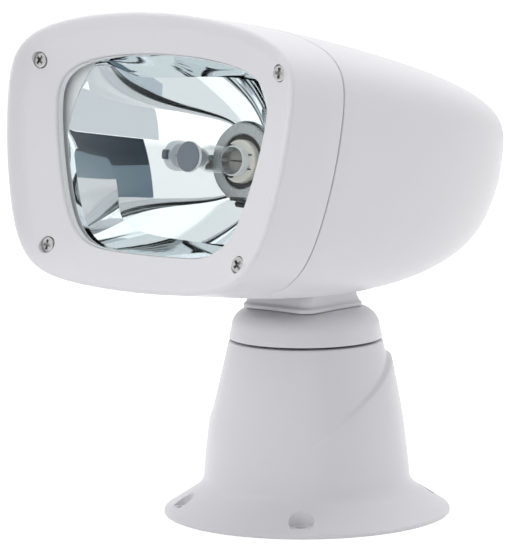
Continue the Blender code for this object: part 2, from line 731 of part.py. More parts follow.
def pedestal_column(angle):
    """One side of the pedestal's section, as (radius, height) from the flange's edge to the top."""
    wave = wave_height(angle)
    below, above = wave - WAVE_WIDTH / 2, wave + WAVE_WIDTH / 2
    column = [(FLANGE_RADIUS, 0), (FLANGE_RADIUS, FLANGE_EDGE),
              (SKIRT_FOOT_RADIUS + FOOT_SPREAD, FLANGE_EDGE + FLANGE_SLOPE - FOOT_SINK)]
    for k in range(3):
        z = SKIRT_FOOT_Z + (below - SKIRT_FOOT_Z) * k / 2
        column.append((skirt_radius(z), z))
    for z in (above, PEDESTAL_TOP_Z - TOP_EDGE):
        column.append((cone_radius(z), z))
    column.append((PEDESTAL_TOP_RADIUS - TOP_EDGE, PEDESTAL_TOP_Z))
    return column


def deck_holes():
    """Places of the four deck fixing holes."""
    front, rear = -math.pi / 2, math.pi / 2
    angles = [front - DECK_HOLE_ANGLE, front + DECK_HOLE_ANGLE,
              rear - DECK_HOLE_ANGLE, rear + DECK_HOLE_ANGLE]
    return around(DECK_HOLE_CIRCLE, angles)


def plate_screw_places():
    """Places of the base plate's four screws."""
    return around(PLATE_SCREW_CIRCLE, [math.pi / 2 * k for k in range(4)])


def pillar_places():
    """Places of the three pillars that the motor plate hangs from."""
    return around(PILLAR_CIRCLE, [math.radians(a) for a in (30, 150, 270)])


def board_corners():
    """Places of the four standoffs under the board."""
    x = BOARD_HALF_WIDTH - BOARD_INSET
    ends = (BOARD_FRONT_Y + BOARD_INSET, BOARD_FRONT_Y + BOARD_DEPTH - BOARD_INSET)
    return [(sx * x, y) for sx in (-1, 1) for y in ends]


def pedestal_shape():
    """The moulded pedestal: flange, raised wave skin, top deck and open underside."""
    inside = [(BUSH_SEAT, PEDESTAL_TOP_Z), (BUSH_SEAT, DECK_UNDERSIDE_Z)]
    inside += [(cavity_radius(z), z) for z in (DECK_UNDERSIDE_Z, LEDGE_Z)]
    inside += [(PLATE_RADIUS + GAP, LEDGE_Z), (PLATE_RADIUS + GAP, 0)]
    segments = LARGE_ROUND
    columns = []
    for i in range(segments):
        angle = 2 * math.pi * i / segments - math.pi
        profile = pedestal_column(angle) + inside
        columns.append([(r * math.sin(angle), -r * math.cos(angle), z) for r, z in profile])
    shell = loft(list(zip(*columns)), cyclic=True)
    pillars = spots(lambda: disc(PILLAR_RADIUS, MOTOR_PLATE_TOP + GAP, DECK_UNDERSIDE_Z + BITE,
                                  SCREW_ROUND), pillar_places())
    shell = joined(shell, pillars)
    return cut(
        shell,
        spots(lambda: disc(COUNTERBORE_RADIUS, COUNTERBORE_FLOOR, 2 * SKIRT_FOOT_Z, SMALL_ROUND),
              deck_holes()),
        spots(lambda: disc(DECK_HOLE_RADIUS, -BITE, COUNTERBORE_FLOOR + BITE, SCREW_ROUND),
              deck_holes()),
        spots(lambda: disc(SCREW_SHANK + GAP, 0, PLATE_SCREW_LENGTH + BITE, SCREW_ROUND),
              plate_screw_places()),
        spots(lambda: disc(SCREW_SHANK + GAP, MOTOR_PLATE_Z, PILLAR_HOLE_TOP, SCREW_ROUND),
              pillar_places()))


def build_base(finishes):
    """Everything that stays with the deck."""
    steel = finishes['steel']
    piece('pedestal', pedestal_shape(), finishes['white_body'])

    grommet_seat = CABLE_HOLE_RADIUS + GROMMET_WALL
    standoffs = spots(lambda: disc(STANDOFF_RADIUS, PLATE_THICKNESS - BITE,
                                   PLATE_THICKNESS + STANDOFF_HEIGHT, SCREW_ROUND), board_corners())
    plate = cut(joined(disc(PLATE_RADIUS, 0, PLATE_THICKNESS, LARGE_ROUND), standoffs),
                moved(disc(grommet_seat, -BITE, PLATE_THICKNESS + BITE), 0, CABLE_HOLE_Y),
                spots(countersink, plate_screw_places()))
    piece('base_plate', plate, finishes['dark_plastic'])
    for k, (x, y) in enumerate(plate_screw_places(), 1):
        flat = laid(screw(SMALL_HEAD - GAP, SMALL_HEAD_HEIGHT, SCREW_SHANK, PLATE_SCREW_LENGTH,
                          countersunk=True), '-Z')
        piece(f'plate_screw_{k}', moved(flat, 0, 0, GAP / 2), steel, None, (x, y, 0))

    lip = grommet_seat + GROMMET_LIP
    bore = CABLE_HOLE_RADIUS - GROMMET_WALL
    top = PLATE_THICKNESS + GAP
    grommet = turned([(bore, GAP), (grommet_seat - GAP, GAP), (grommet_seat - GAP, top), (lip, top),
                      (lip, top + GROMMET_LIP), (bore, top + GROMMET_LIP)], SMALL_ROUND)
    piece('cable_grommet', moved(grommet, 0, CABLE_HOLE_Y), finishes['rubber'])

    board = box((-BOARD_HALF_WIDTH, BOARD_FRONT_Y, BOARD_Z),
                (BOARD_HALF_WIDTH, BOARD_FRONT_Y + BOARD_DEPTH, BOARD_Z + BOARD_THICKNESS))
    piece('control_board', board, finishes['board'])
    board_top = BOARD_Z + BOARD_THICKNESS + GAP
    terminal_y = BOARD_FRONT_Y + TERMINAL_SETBACK
    terminal_top = board_top + TERMINAL_HEIGHT
    terminal = box((-TERMINAL_HALF_WIDTH, terminal_y, board_top),
                   (TERMINAL_HALF_WIDTH, terminal_y + TERMINAL_DEPTH, terminal_top))
    pitch = 2 * TERMINAL_HALF_WIDTH / TERMINAL_WAYS
    wells = [((k - (TERMINAL_WAYS - 1) / 2) * pitch, terminal_y + TERMINAL_DEPTH / 2)
             for k in range(TERMINAL_WAYS)]
    terminal = cut(terminal, spots(lambda: disc(WELL_RADIUS, board_top + TERMINAL_HEIGHT / 2,
                                                terminal_top + BITE, SCREW_ROUND), wells))
    piece('terminal_block', terminal, finishes['terminal'])

    build_pan_bearings(finishes)
    motor_plate = cut(
        disc(MOTOR_PLATE_RADIUS, MOTOR_PLATE_Z, MOTOR_PLATE_TOP, MEDIUM_ROUND),
        disc(BUSH_SEAT, 0, THROUGH),
        moved(disc(DRIVE_SHAFT_RADIUS + SLIDE, 0, THROUGH, SMALL_ROUND), 0, PAN_CENTRES),
        spots(lambda: disc(SCREW_SHANK + GAP, 0, THROUGH, SCREW_ROUND), pillar_places()))
    piece('motor_plate', motor_plate, steel)
    for k, (x, y) in enumerate(pillar_places(), 1):
        upward = laid(screw(SMALL_HEAD, SMALL_HEAD_HEIGHT, SCREW_SHANK,
                            SMALL_HEAD_HEIGHT + MOTOR_PLATE_THICKNESS + PILLAR_BITE), '-Z')
        piece(f'motor_plate_screw_{k}', moved(upward, 0, 0, MOTOR_PLATE_Z - GAP - SMALL_HEAD_HEIGHT),
              steel, None, (x, y, 0))
    gearbox_top = MOTOR_PLATE_Z - GAP
    gearbox = disc(GEARBOX_RADIUS, gearbox_top - GEARBOX_LENGTH, gearbox_top, edge=GEARBOX_EDGE)
    piece('pan_gearbox', gearbox, steel, None, (0, PAN_CENTRES, 0))
    motor_top = gearbox_top - GEARBOX_LENGTH - GAP
    piece('pan_motor', motor_can(motor_top, motor_top - PAN_MOTOR_LENGTH), finishes['motor'],
          None, (0, PAN_CENTRES, 0))


def motor_can(front, rear):
    """A small motor's can with the boss of its rear bearing."""
    step = math.copysign(MOTOR_BOSS_HEIGHT, rear - front)
    edge = math.copysign(MOTOR_EDGE, rear - front)
    return turned([(0, front), (MOTOR_RADIUS, front), (MOTOR_RADIUS, rear - edge),
                   (MOTOR_RADIUS - MOTOR_EDGE, rear), (MOTOR_BOSS_RADIUS, rear),
                   (MOTOR_BOSS_RADIUS, rear + step), (0, rear + step)], SMALL_ROUND)


def countersink():
    """A tool that sinks a flat-headed screw into the underside of a plate at z = 0."""
    depth = SMALL_HEAD_HEIGHT + GAP
    hole = SCREW_SHANK + GAP
    return turned([(0, -BITE), (SMALL_HEAD, -BITE), (SMALL_HEAD, GAP + 0.2 * SMALL_HEAD_HEIGHT),
                   (hole, depth), (hole, THROUGH), (0, THROUGH)], SCREW_ROUND)


def flanged_bush(bore, seat_radius, lip_radius, lip_z, lip_thickness, end_z, segments=SMALL_ROUND):
    """A flanged bush: its flange lies on the far side of lip_z from its end."""
    back = lip_z - math.copysign(lip_thickness, end_z - lip_z)
    return turned([(bore, back), (lip_radius, back), (lip_radius, lip_z), (seat_radius, lip_z),
                   (seat_radius, end_z), (bore, end_z)], segments)


def build_pan_bearings(finishes):
    """The two bushes of the spindle and the washer that the turret slides on."""
    lip = BUSH_RADIUS + BUSH_LIP
    upper = flanged_bush(BUSH_BORE, BUSH_RADIUS, lip, DECK_UNDERSIDE_Z - GAP, BUSH_FLANGE,
                         PEDESTAL_TOP_Z - GAP)
    piece('upper_bush', upper, finishes['brass'])
    lower = flanged_bush(BUSH_BORE, BUSH_RADIUS, lip, MOTOR_PLATE_Z - GAP, BUSH_FLANGE, MOTOR_PLATE_TOP)
    piece('lower_bush', lower, finishes['brass'])
    washer_low = PEDESTAL_TOP_Z + GAP
    piece('thrust_washer', tube(WASHER_RADIUS, BUSH_RADIUS, washer_low, washer_low + WASHER_THICKNESS),
          finishes['washer'])


# Turret

def shoulder(radius_inset, steps):
    """The turret's rounded shoulder from its side up to its flat top, inset for the inner face."""
    reach = TURRET_RADIUS - TURRET_LEAN - SHOULDER_RADIUS - radius_inset
    rise = SHOULDER_DROP - radius_inset
    centre_z = TURRET_TOP_Z - SHOULDER_DROP
    angles = [math.pi / 2 * k / steps for k in range(steps + 1)]
    return [(SHOULDER_RADIUS + reach * math.cos(a), centre_z + rise * math.sin(a)) for a in angles]


def neck_screw_places():
    """The four screws that hold the neck down, from inside the cap."""
    x = NECK_HALF_WIDTH - NECK_CORNER
    return [(sx * x, y) for sx in (-1, 1)
            for y in (NECK_FRONT_Y + NECK_CORNER, NECK_REAR_Y - NECK_CORNER)]


def turret_cap_shape():
    """The turret's rounded cap, open underneath, with a bore for the lamp's leads."""
    outer = [(TURRET_RADIUS - TOP_EDGE, TURRET_RIM_Z), (TURRET_RADIUS, TURRET_RIM_Z + TOP_EDGE)]
    outer += shoulder(0, 4)
    profile = outer + [(NECK_BORE, TURRET_TOP_Z), (NECK_BORE, TURRET_CEILING)]
    profile += list(reversed(shoulder(TURRET_WALL, 2))) + [(TURRET_BORE, TURRET_RIM_Z)]
    return cut(turned(profile, LARGE_ROUND),
               spots(lambda: disc(SCREW_SHANK + GAP, TURRET_CEILING - BITE, TURRET_TOP_Z + BITE,
                                  SCREW_ROUND), neck_screw_places()))


def neck_shape():
    """The neck: a flared foot, a block whose rear wall leans, and two ears round the tilt shaft."""
    half, front, rear, flare = NECK_HALF_WIDTH, NECK_FRONT_Y, NECK_REAR_Y, NECK_FLARE
    foot, corner = NECK_FOOT_Z, NECK_CORNER
    leaned = rear - NECK_LEAN
    brow = NECK_SHOULDER_Z + BROW_SHARE * NECK_SHOULDER
    levels = [(foot, half + flare, front - flare, rear + flare, corner + flare),
              (foot + NECK_FOOT, half + flare, front - flare, rear + flare, corner + flare),
              (foot + NECK_FOOT + NECK_FILLET, half, front, rear, corner),
              (NECK_SHOULDER_Z, half, front + NECK_FRONT_LEAN, leaned, corner),
              (brow, half - BROW_SIDE, front + BROW_FRONT, leaned - BROW_REAR, corner),
              (NECK_TOP_Z, EAR_OUTSIDE - CROWN_SIDE, front + CROWN_FRONT, leaned - CROWN_REAR, corner)]
    rows = []
    for z, width, low_y, high_y, radius in levels:
        outline = rounded_rectangle(-width, width, low_y, high_y, radius)
        rows.append([(x, y, z) for x, y in outline])
    middle = (0, (front + rear) / 2)
    rows = [[(*middle, foot)]] + rows + [[(*middle, NECK_TOP_Z)]]
    block = loft(rows)
    profile = [(front + EAR_FRONT, NECK_SHOULDER_Z), (leaned - EAR_REAR, NECK_SHOULDER_Z)]
    profile += arc((0, PIVOT_Z), EAR_RADIUS, 0.06 * math.pi, 0.94 * math.pi, 12)

    def ear(inner_x):
        plate = prism([(z, -y) for y, z in profile], inner_x, inner_x + EAR_THICKNESS)
        plate.transform(Matrix(((0, 0, 1, 0), (0, -1, 0, 0), (1, 0, 0, 0), (0, 0, 0, 1))))
        bmesh.ops.recalc_face_normals(plate, faces=plate.faces)
        return plate

    block = joined(block, ear(EAR_OUTSIDE - EAR_THICKNESS), ear(-EAR_OUTSIDE))
    shaft_hole = laid(disc(TILT_SHAFT_RADIUS + SLIDE / 2, -half, half, SMALL_ROUND), 'X')
    screw_end = NECK_SCREW_Z + NECK_SCREW_LENGTH + HOLE_SPARE
    return cut(block, moved(shaft_hole, 0, 0, PIVOT_Z), disc(NECK_BORE, 0, PIVOT_Z),
               spots(lambda: disc(SCREW_SHANK + GAP, foot - BITE, screw_end, SCREW_ROUND),
                     neck_screw_places()))


def sector_shape():
    """The fixed gear sector that the tilt pinion climbs along, with its lobe against the ear."""
    spacing = 2 * math.pi / TILT_GEAR_TEETH
    spare = 1.5 * spacing
    first = -math.ceil((TILT_UP + spare) / spacing)
    last = math.ceil((TILT_DOWN + spare) / spacing)
    contact = DRIVE_ANGLE - HEAD_PITCH
    start = contact + (last + 0.7) * spacing
    end = 2 * math.pi + contact + (first - 0.7) * spacing
    below = 1.5 * math.pi
    rim = arc((0, 0), SECTOR_HUB, start, below - WAIST_HALF_ANGLE, 8)
    rim += arc((0, 0), SECTOR_LOBE, below - LOBE_HALF_ANGLE, below + LOBE_HALF_ANGLE, 8)
    rim += arc((0, 0), SECTOR_HUB, below + WAIST_HALF_ANGLE, end, 3)
    outline = gear_outline(TILT_MODULE, TILT_GEAR_TEETH, range(first, last + 1), rim, contact)
    plate = prism(outline, SECTOR_X, SECTOR_OUTSIDE)
    plate = cut(plate, disc(TILT_SHAFT_RADIUS + SLIDE / 2, 0, THROUGH, SMALL_ROUND))
    plate.transform(Matrix(((0, 0, 1, 0), (1, 0, 0, 0), (0, 1, 0, PIVOT_Z), (0, 0, 0, 1))))
    return plate


def build_turret(finishes):
    """Everything that pans with the turret."""
    white, steel = finishes['white_body'], finishes['steel']
    piece('turret_cap', turret_cap_shape(), white)
    piece('turret_floor', tube(TURRET_BORE - GAP, SPINDLE_RADIUS + GAP, FLOOR_Z, FLOOR_TOP, LARGE_ROUND),
          finishes['dark_plastic'])
    groove = SPINDLE_RADIUS - CLIP_DEPTH
    clip_low, clip_high = CLIP_Z - GAP / 2, CLIP_Z + CLIP_THICKNESS + GAP / 2
    flange_top = SPINDLE_FLANGE_Z + SPINDLE_FLANGE
    spindle = turned([(SPINDLE_BORE, SPINDLE_LOW_Z), (SPINDLE_RADIUS, SPINDLE_LOW_Z),
                      (SPINDLE_RADIUS, clip_low), (groove, clip_low), (groove, clip_high),
                      (SPINDLE_RADIUS, clip_high), (SPINDLE_RADIUS, SPINDLE_FLANGE_Z),
                      (SPINDLE_FLANGE_RADIUS, SPINDLE_FLANGE_Z), (SPINDLE_FLANGE_RADIUS, flange_top),
                      (SPINDLE_BORE, flange_top)], SMALL_ROUND)
    piece('pan_spindle', spindle, steel)
    piece('spindle_circlip', circlip(groove + GAP / 2, CLIP_THICKNESS, CLIP_Z), steel)

    gear_top = PAN_GEAR_Z + PAN_GEAR_WIDTH
    teeth = gear_outline(PAN_MODULE, PAN_GEAR_TEETH, phase=math.pi / 2)
    gear = joined(prism(teeth, PAN_GEAR_Z, gear_top),
                  disc(PAN_HUB_RADIUS, gear_top - BITE, gear_top + PAN_HUB_HEIGHT))
    grub_z = gear_top + PAN_HUB_HEIGHT / 2
    grub_hole = laid(disc(GRUB_RADIUS + GAP, 0, PAN_HUB_RADIUS + BITE, SCREW_ROUND), 'X')
    gear = cut(gear, disc(SPINDLE_RADIUS + GAP, 0, THROUGH), moved(grub_hole, 0, 0, grub_z))
    piece('pan_gear', gear, finishes['nylon'])
    grub = laid(disc(GRUB_RADIUS, SPINDLE_RADIUS + GAP, PAN_HUB_RADIUS, SCREW_ROUND), 'X')
    piece('gear_grub_screw', moved(grub, 0, 0, grub_z), steel)

    piece('neck', neck_shape(), white)
    for k, (x, y) in enumerate(neck_screw_places(), 1):
        upward = laid(screw(SMALL_HEAD, SMALL_HEAD_HEIGHT, SCREW_SHANK, NECK_SCREW_LENGTH), '-Z')
        piece(f'neck_screw_{k}', moved(upward, 0, 0, NECK_SCREW_Z), steel, None, (x, y, 0))
    build_tilt_shaft(finishes)


def build_tilt_shaft(finishes):
    """The shaft that the head tilts on, its two clips, and the sector fixed to the neck's ear."""
    steel = finishes['steel']
    pivot = (0, 0, PIVOT_Z)
    clip_x = ARM_OUTSIDE + 2 * GAP
    groove = TILT_SHAFT_RADIUS - SHAFT_GROOVE
    clip_end = clip_x + SHAFT_CLIP
    half = [(TILT_SHAFT_RADIUS, clip_x - GAP / 2), (groove, clip_x - GAP / 2),
            (groove, clip_end + GAP / 2), (TILT_SHAFT_RADIUS, clip_end + GAP / 2),
            (TILT_SHAFT_RADIUS, clip_end + SHAFT_END), (0, clip_end + SHAFT_END)]
    profile = [(r, -x) for r, x in reversed(half)] + half
    piece('tilt_shaft', laid(turned(profile, SMALL_ROUND), 'X'), steel, None, pivot)
    for side, x in (('right', clip_x), ('left', -clip_end)):
        piece(f'shaft_circlip_{side}', laid(circlip(groove + GAP / 2, SHAFT_CLIP, x), 'X'), steel,
              None, pivot)
    piece('tilt_sector', sector_shape(), finishes['nylon'])


# Head sections

def row(points, u):
    """A section's points at one depth of the head."""
    return [(x, u, z) for x, z in points]


def inset(points, distance):
    """A closed outline moved inwards by a distance."""
    tangents = np.roll(points, -1, axis=0) - np.roll(points, 1, axis=0)
    tangents /= np.hypot(tangents[:, 0], tangents[:, 1])[:, None]
    normals = np.stack([-tangents[:, 1], tangents[:, 0]], axis=1)
    return points + distance * normals


def ray_length(outline, x, z):
    """The distance from the outline's middle to its edge, through a point."""
    angle = math.atan2(z - outline.middle, x)
    edge = outline.points(np.array([angle]))[0]
    return math.hypot(edge[0], edge[1] - outline.middle)


def face_screws():
    """The four bezel screws as (x, z)."""
    places = [(HEAD_HALF_WIDTH - TOP_SCREW_SIDE, HEAD_HALF_HEIGHT - TOP_SCREW_DROP),
              (HEAD_HALF_WIDTH - BOTTOM_SCREW_SIDE, BOTTOM_SCREW_RISE - HEAD_HALF_HEIGHT)]
    return [(sx * x, z) for x, z in places for sx in (-1, 1)]


def screw_post(x, z, low, high):
    """A screw post along u, with a rib that ties it to the wall outside it."""
    post = moved(laid(disc(POST_RADIUS, low, high, SCREW_ROUND), 'Y'), x, 0, z)
    reach = ray_length(RIM, x, z) - HEAD_WALL / 2
    angle = math.atan2(z - RIM.middle, x)
    start = math.hypot(x, z - RIM.middle)
    rib = box((start, low + GAP, -POST_RIB / 2), (reach, high - GAP, POST_RIB / 2))
    rib.transform(Matrix.Translation((0, 0, RIM.middle)) @ Matrix.Rotation(-angle, 4, 'Y'))
    return joined(post, rib)


def face_tool(radius, low, high, segments):
    """The same round tool along u at all four face screws."""
    return group([moved(laid(disc(radius, low, high, segments), 'Y'), x, 0, z)
                  for x, z in face_screws()])


def bezel_shape():
    """The dished front frame with its straight side walls and screw posts."""
    rim = RIM.points(STATIONS)
    opening = APERTURE.points(STATIONS)
    border = inset(rim, BORDER_WIDTH)
    seat = inset(opening, -LENS_LAP - LENS_SPARE)
    inner = inset(rim, HEAD_WALL)
    bead = RIM_ROUND
    rows = [row(rim, BEZEL_REAR_U), row(rim, bead), row(inset(rim, 0.3 * bead), 0.3 * bead),
            row(inset(rim, 1.2 * bead), 0),
            row(border, BORDER_DEPTH), row(opening, DISH_DEPTH), row(opening, LIP_REAR_U),
            row(seat, LIP_REAR_U), row(inner, BORDER_DEPTH + HEAD_WALL), row(inner, BEZEL_REAR_U)]
    posts = [screw_post(x, z, FACE_SCREW_U + FACE_HEAD_HEIGHT + 2 * GAP, BEZEL_REAR_U - GAP)
             for x, z in face_screws()]
    return cut(joined(loft(rows, cyclic=True), group(posts)),
               face_tool(FACE_SCREW_HEAD + GAP, 0, FACE_SCREW_U + FACE_HEAD_HEIGHT + GAP, SMALL_ROUND),
               face_tool(FACE_SCREW_SHANK + GAP, 0, BEZEL_DEPTH, SCREW_ROUND))


def housing_section(t, points, length_inset=0.0):
    """A section of the rear housing, at a share t of its length from the seam to the nose."""
    rise = points[:, 1] - NOSE_Z
    heights = NOSE_Z + rise * np.where(rise > 0, fade(t, NOSE_ABOVE), fade(t, NOSE_BELOW))
    u = HOUSING_FRONT_U + t * (HOUSING_LENGTH - SEAM / 2 - length_inset)
    return row(np.stack([points[:, 0] * fade(t, NOSE_ACROSS), heights], axis=1), u)


def rear_housing_shape():
    """The rear casing: one long swept shell that closes to a blunt nose, slotted for the neck."""
    rim = RIM.points(STATIONS)
    inner = inset(rim, HEAD_WALL)

    def shares(steps):
        return [math.sin(math.pi / 2 * k / steps) ** 0.8 for k in range(steps)]

    outer_rows = [housing_section(t, rim) for t in shares(11)]
    inner_rows = [housing_section(t, inner, HEAD_WALL) for t in shares(6)]
    nose = HOUSING_FRONT_U + HOUSING_LENGTH - SEAM / 2
    rows = [[(0, nose - HEAD_WALL, NOSE_Z)]] + list(reversed(inner_rows)) + outer_rows
    rows += [[(0, nose, NOSE_Z)]]
    posts = [screw_post(x, z, HOUSING_FRONT_U + GAP, HOUSING_FRONT_U + POST_DEPTH)
             for x, z in face_screws()]
    bosses = [moved(disc(BRACKET_BOSS_RADIUS, housing_floor(x, u) + HEAD_WALL / 2,
                         BRACKET_FOOT_Z - GAP, SCREW_ROUND), x, u)
              for x, u in bracket_screw_places()]
    slot_half = NECK_HALF_WIDTH + SLOT_SIDE
    slot = rounded_rectangle(-slot_half, slot_half, PIVOT_U + NECK_FRONT_Y - SLOT_AHEAD,
                             PIVOT_U + NECK_REAR_Y + SLOT_BEHIND, SLOT_CORNER)
    bracket_bores = [moved(disc(SCREW_SHANK + GAP, BRACKET_FOOT_Z - BRACKET_BITE - GAP,
                                BRACKET_FOOT_TOP, SCREW_ROUND), x, u)
                     for x, u in bracket_screw_places()]
    return cut(joined(loft(rows), group(posts), group(bosses)),
               prism(slot, -THROUGH, BRACKET_FOOT_Z - GAP / 2),
               face_tool(FACE_SCREW_SHANK + GAP, BEZEL_DEPTH, FACE_SCREW_REACH + GAP, SCREW_ROUND),
               group(bracket_bores))


def bracket_screw_places():
    """The bracket's four screws as (x, u)."""
    ends = (BRACKET_FRONT_U + BRACKET_SCREW_END, BRACKET_REAR_U - BRACKET_SCREW_END)
    return [(sx * BRACKET_SCREW_X, u) for sx in (-1, 1) for u in ends]


def drive_point():
    """The tilt pinion's axis in the head's frame, as (u, z)."""
    return (PIVOT_U + TILT_CENTRES * math.cos(DRIVE_ANGLE),
            -PIVOT_DROP + TILT_CENTRES * math.sin(DRIVE_ANGLE))


def reflector_shape():
    """A paraboloid cropped by flat walls: the walls meet the bowl in curved creases."""
    opening = APERTURE.points(STATIONS)
    spokes = opening - [0, LAMP_Z]
    lengths = np.hypot(spokes[:, 0], spokes[:, 1])
    spokes = spokes / lengths[:, None]
    mouth = math.sqrt(4 * FOCAL_LENGTH * (VERTEX_U - REFLECTOR_U))
    crop = np.minimum(lengths, mouth)

    collar = LAMP_RING_RADIUS + LAMP_COLLAR

    def ring(radii, lift):
        """A ring at these distances from the lamp's axis, on the front or back face."""
        depths = VERTEX_U + lift - radii ** 2 / (4 * FOCAL_LENGTH)
        least = REFLECTOR_U + GAP if lift == 0 else REFLECTOR_BACK_U + GAP
        points = [0, LAMP_Z] + spokes * (radii + lift)[:, None]
        return [(x, max(u, least), z) for (x, z), u in zip(points, depths)]

    front = [0, LAMP_Z] + spokes * crop[:, None]
    behind = [0, LAMP_Z] + spokes * (crop + REFLECTOR_WALL)[:, None]
    edge = inset(opening, -LENS_LAP)
    rows = [row(front, REFLECTOR_U)]
    rows += [ring(crop + (collar - crop) * share, 0) for share in (0, 0.3, 0.62, 1)]
    rows += [ring(np.full_like(crop, LAMP_HOLE_RADIUS), lift) for lift in (0, REFLECTOR_WALL)]
    rows += [ring(crop + (collar - crop) * share, REFLECTOR_WALL) for share in (0.55, 0)]
    rows += [row(behind, REFLECTOR_BACK_U), row(edge, REFLECTOR_BACK_U), row(edge, REFLECTOR_U)]
    return loft(rows, cyclic=True)


def on_lamp_axis(shape):
    """A turned shape laid along u on the lamp's axis."""
    return moved(laid(shape, 'Y'), 0, 0, LAMP_Z)


def build_lamp(finishes, tilt_axis):
    """The lamp, its holder and the cap that keeps its glare from the eye."""
    ring_u = VERTEX_U - LAMP_RING_RADIUS ** 2 / (4 * FOCAL_LENGTH) - LAMP_RING_THICKNESS - GAP
    sleeve_end = ring_u + LAMP_SLEEVE_DEPTH
    bore = LAMP_BASE_RADIUS + GAP
    ring_back = ring_u + LAMP_RING_THICKNESS
    ring = turned([(bore, ring_u), (LAMP_RING_RADIUS - LAMP_RING_EDGE, ring_u),
                   (LAMP_RING_RADIUS, ring_u + LAMP_RING_EDGE), (LAMP_RING_RADIUS, ring_back),
                   (LAMP_SLEEVE_RADIUS, ring_back), (LAMP_SLEEVE_RADIUS, sleeve_end),
                   (bore, sleeve_end)])
    head_piece('lamp_ring', on_lamp_axis(ring), finishes['chrome'], tilt_axis)

    front, rear, edge = HOLDER_FRONT_U, HOLDER_REAR_U, HOLDER_EDGE
    seat, seat_end = LAMP_BASE_RADIUS - HOLDER_SEAT, sleeve_end + GAP
    holder = turned([(0, rear), (HOLDER_RADIUS - edge, rear), (HOLDER_RADIUS, rear - edge),
                     (HOLDER_RADIUS, front), (LAMP_SLEEVE_RADIUS + GAP, front),
                     (LAMP_SLEEVE_RADIUS + GAP, seat_end), (seat, seat_end),
                     (seat, rear - HOLDER_WALL), (0, rear - HOLDER_WALL)])
    head_piece('lamp_holder', on_lamp_axis(holder), finishes['dark_plastic'], tilt_axis)

    base_u = ring_u + LAMP_BASE_RECESS
    base = disc(LAMP_BASE_RADIUS, base_u, sleeve_end, MEDIUM_ROUND)
    head_piece('lamp_base', on_lamp_axis(base), finishes['ceramic'], tilt_axis)

    glass_rear = base_u - GAP
    crown = BULB_TIP_U + BULB_RADIUS
    outer_dome = [(BULB_RADIUS * math.sin(a), crown - BULB_RADIUS * math.cos(a))
                  for a in [math.pi / 2 * k / 4 for k in range(4, 0, -1)]]
    bore_radius = BULB_RADIUS - BULB_GLASS
    inner_dome = [(bore_radius * math.sin(a), crown - bore_radius * math.cos(a))
                  for a in [math.pi / 2 * k / 3 for k in range(1, 4)]]
    bulb = turned([(0, BULB_TIP_U + BULB_GLASS)] + inner_dome + [(bore_radius, glass_rear),
                  (BULB_RADIUS, glass_rear)] + outer_dome + [(0, BULB_TIP_U)], SMALL_ROUND)
    head_piece('lamp_bulb', on_lamp_axis(bulb), finishes['glass'], tilt_axis)
    focus_u = VERTEX_U - FOCAL_LENGTH
    spread = FILAMENT_SPREAD
    posts = spots(lambda: disc(SUPPORT_WIRE, focus_u, glass_rear, 6), [(-spread, 0), (spread, 0)])
    coil_end = spread + SUPPORT_WIRE
    coil = moved(laid(disc(FILAMENT_RADIUS, -coil_end, coil_end, 7), 'X'), 0, 0, focus_u)
    head_piece('lamp_filament', on_lamp_axis(joined(coil, posts)), finishes['tungsten'], tilt_axis)

    cap_rim = GLARE_CAP_U + GLARE_CAP_DEPTH
    radius, wall = GLARE_CAP_RADIUS, GLARE_CAP_WALL
    cap = turned([(0, GLARE_CAP_U + wall), (radius - 2 * wall, GLARE_CAP_U + wall),
                  (radius - wall, GLARE_CAP_U + 2 * wall), (radius - wall, cap_rim), (radius, cap_rim),
                  (radius, GLARE_CAP_U + wall), (radius - wall, GLARE_CAP_U + GLARE_CAP_CROWN),
                  (0, GLARE_CAP_U)], MEDIUM_ROUND)
    stem = disc(GLARE_STEM_RADIUS, GLARE_CAP_U + 0.5 * wall, BULB_TIP_U - GAP, SCREW_ROUND)
    lug = box((-radius - LUG_REACH, -LUG_HALF_WIDTH, GLARE_CAP_U + LUG_SETBACK),
              (-radius + wall, LUG_HALF_WIDTH, cap_rim))
    head_piece('glare_cap', on_lamp_axis(joined(cap, stem, lug)), finishes['cap_grey'], tilt_axis)


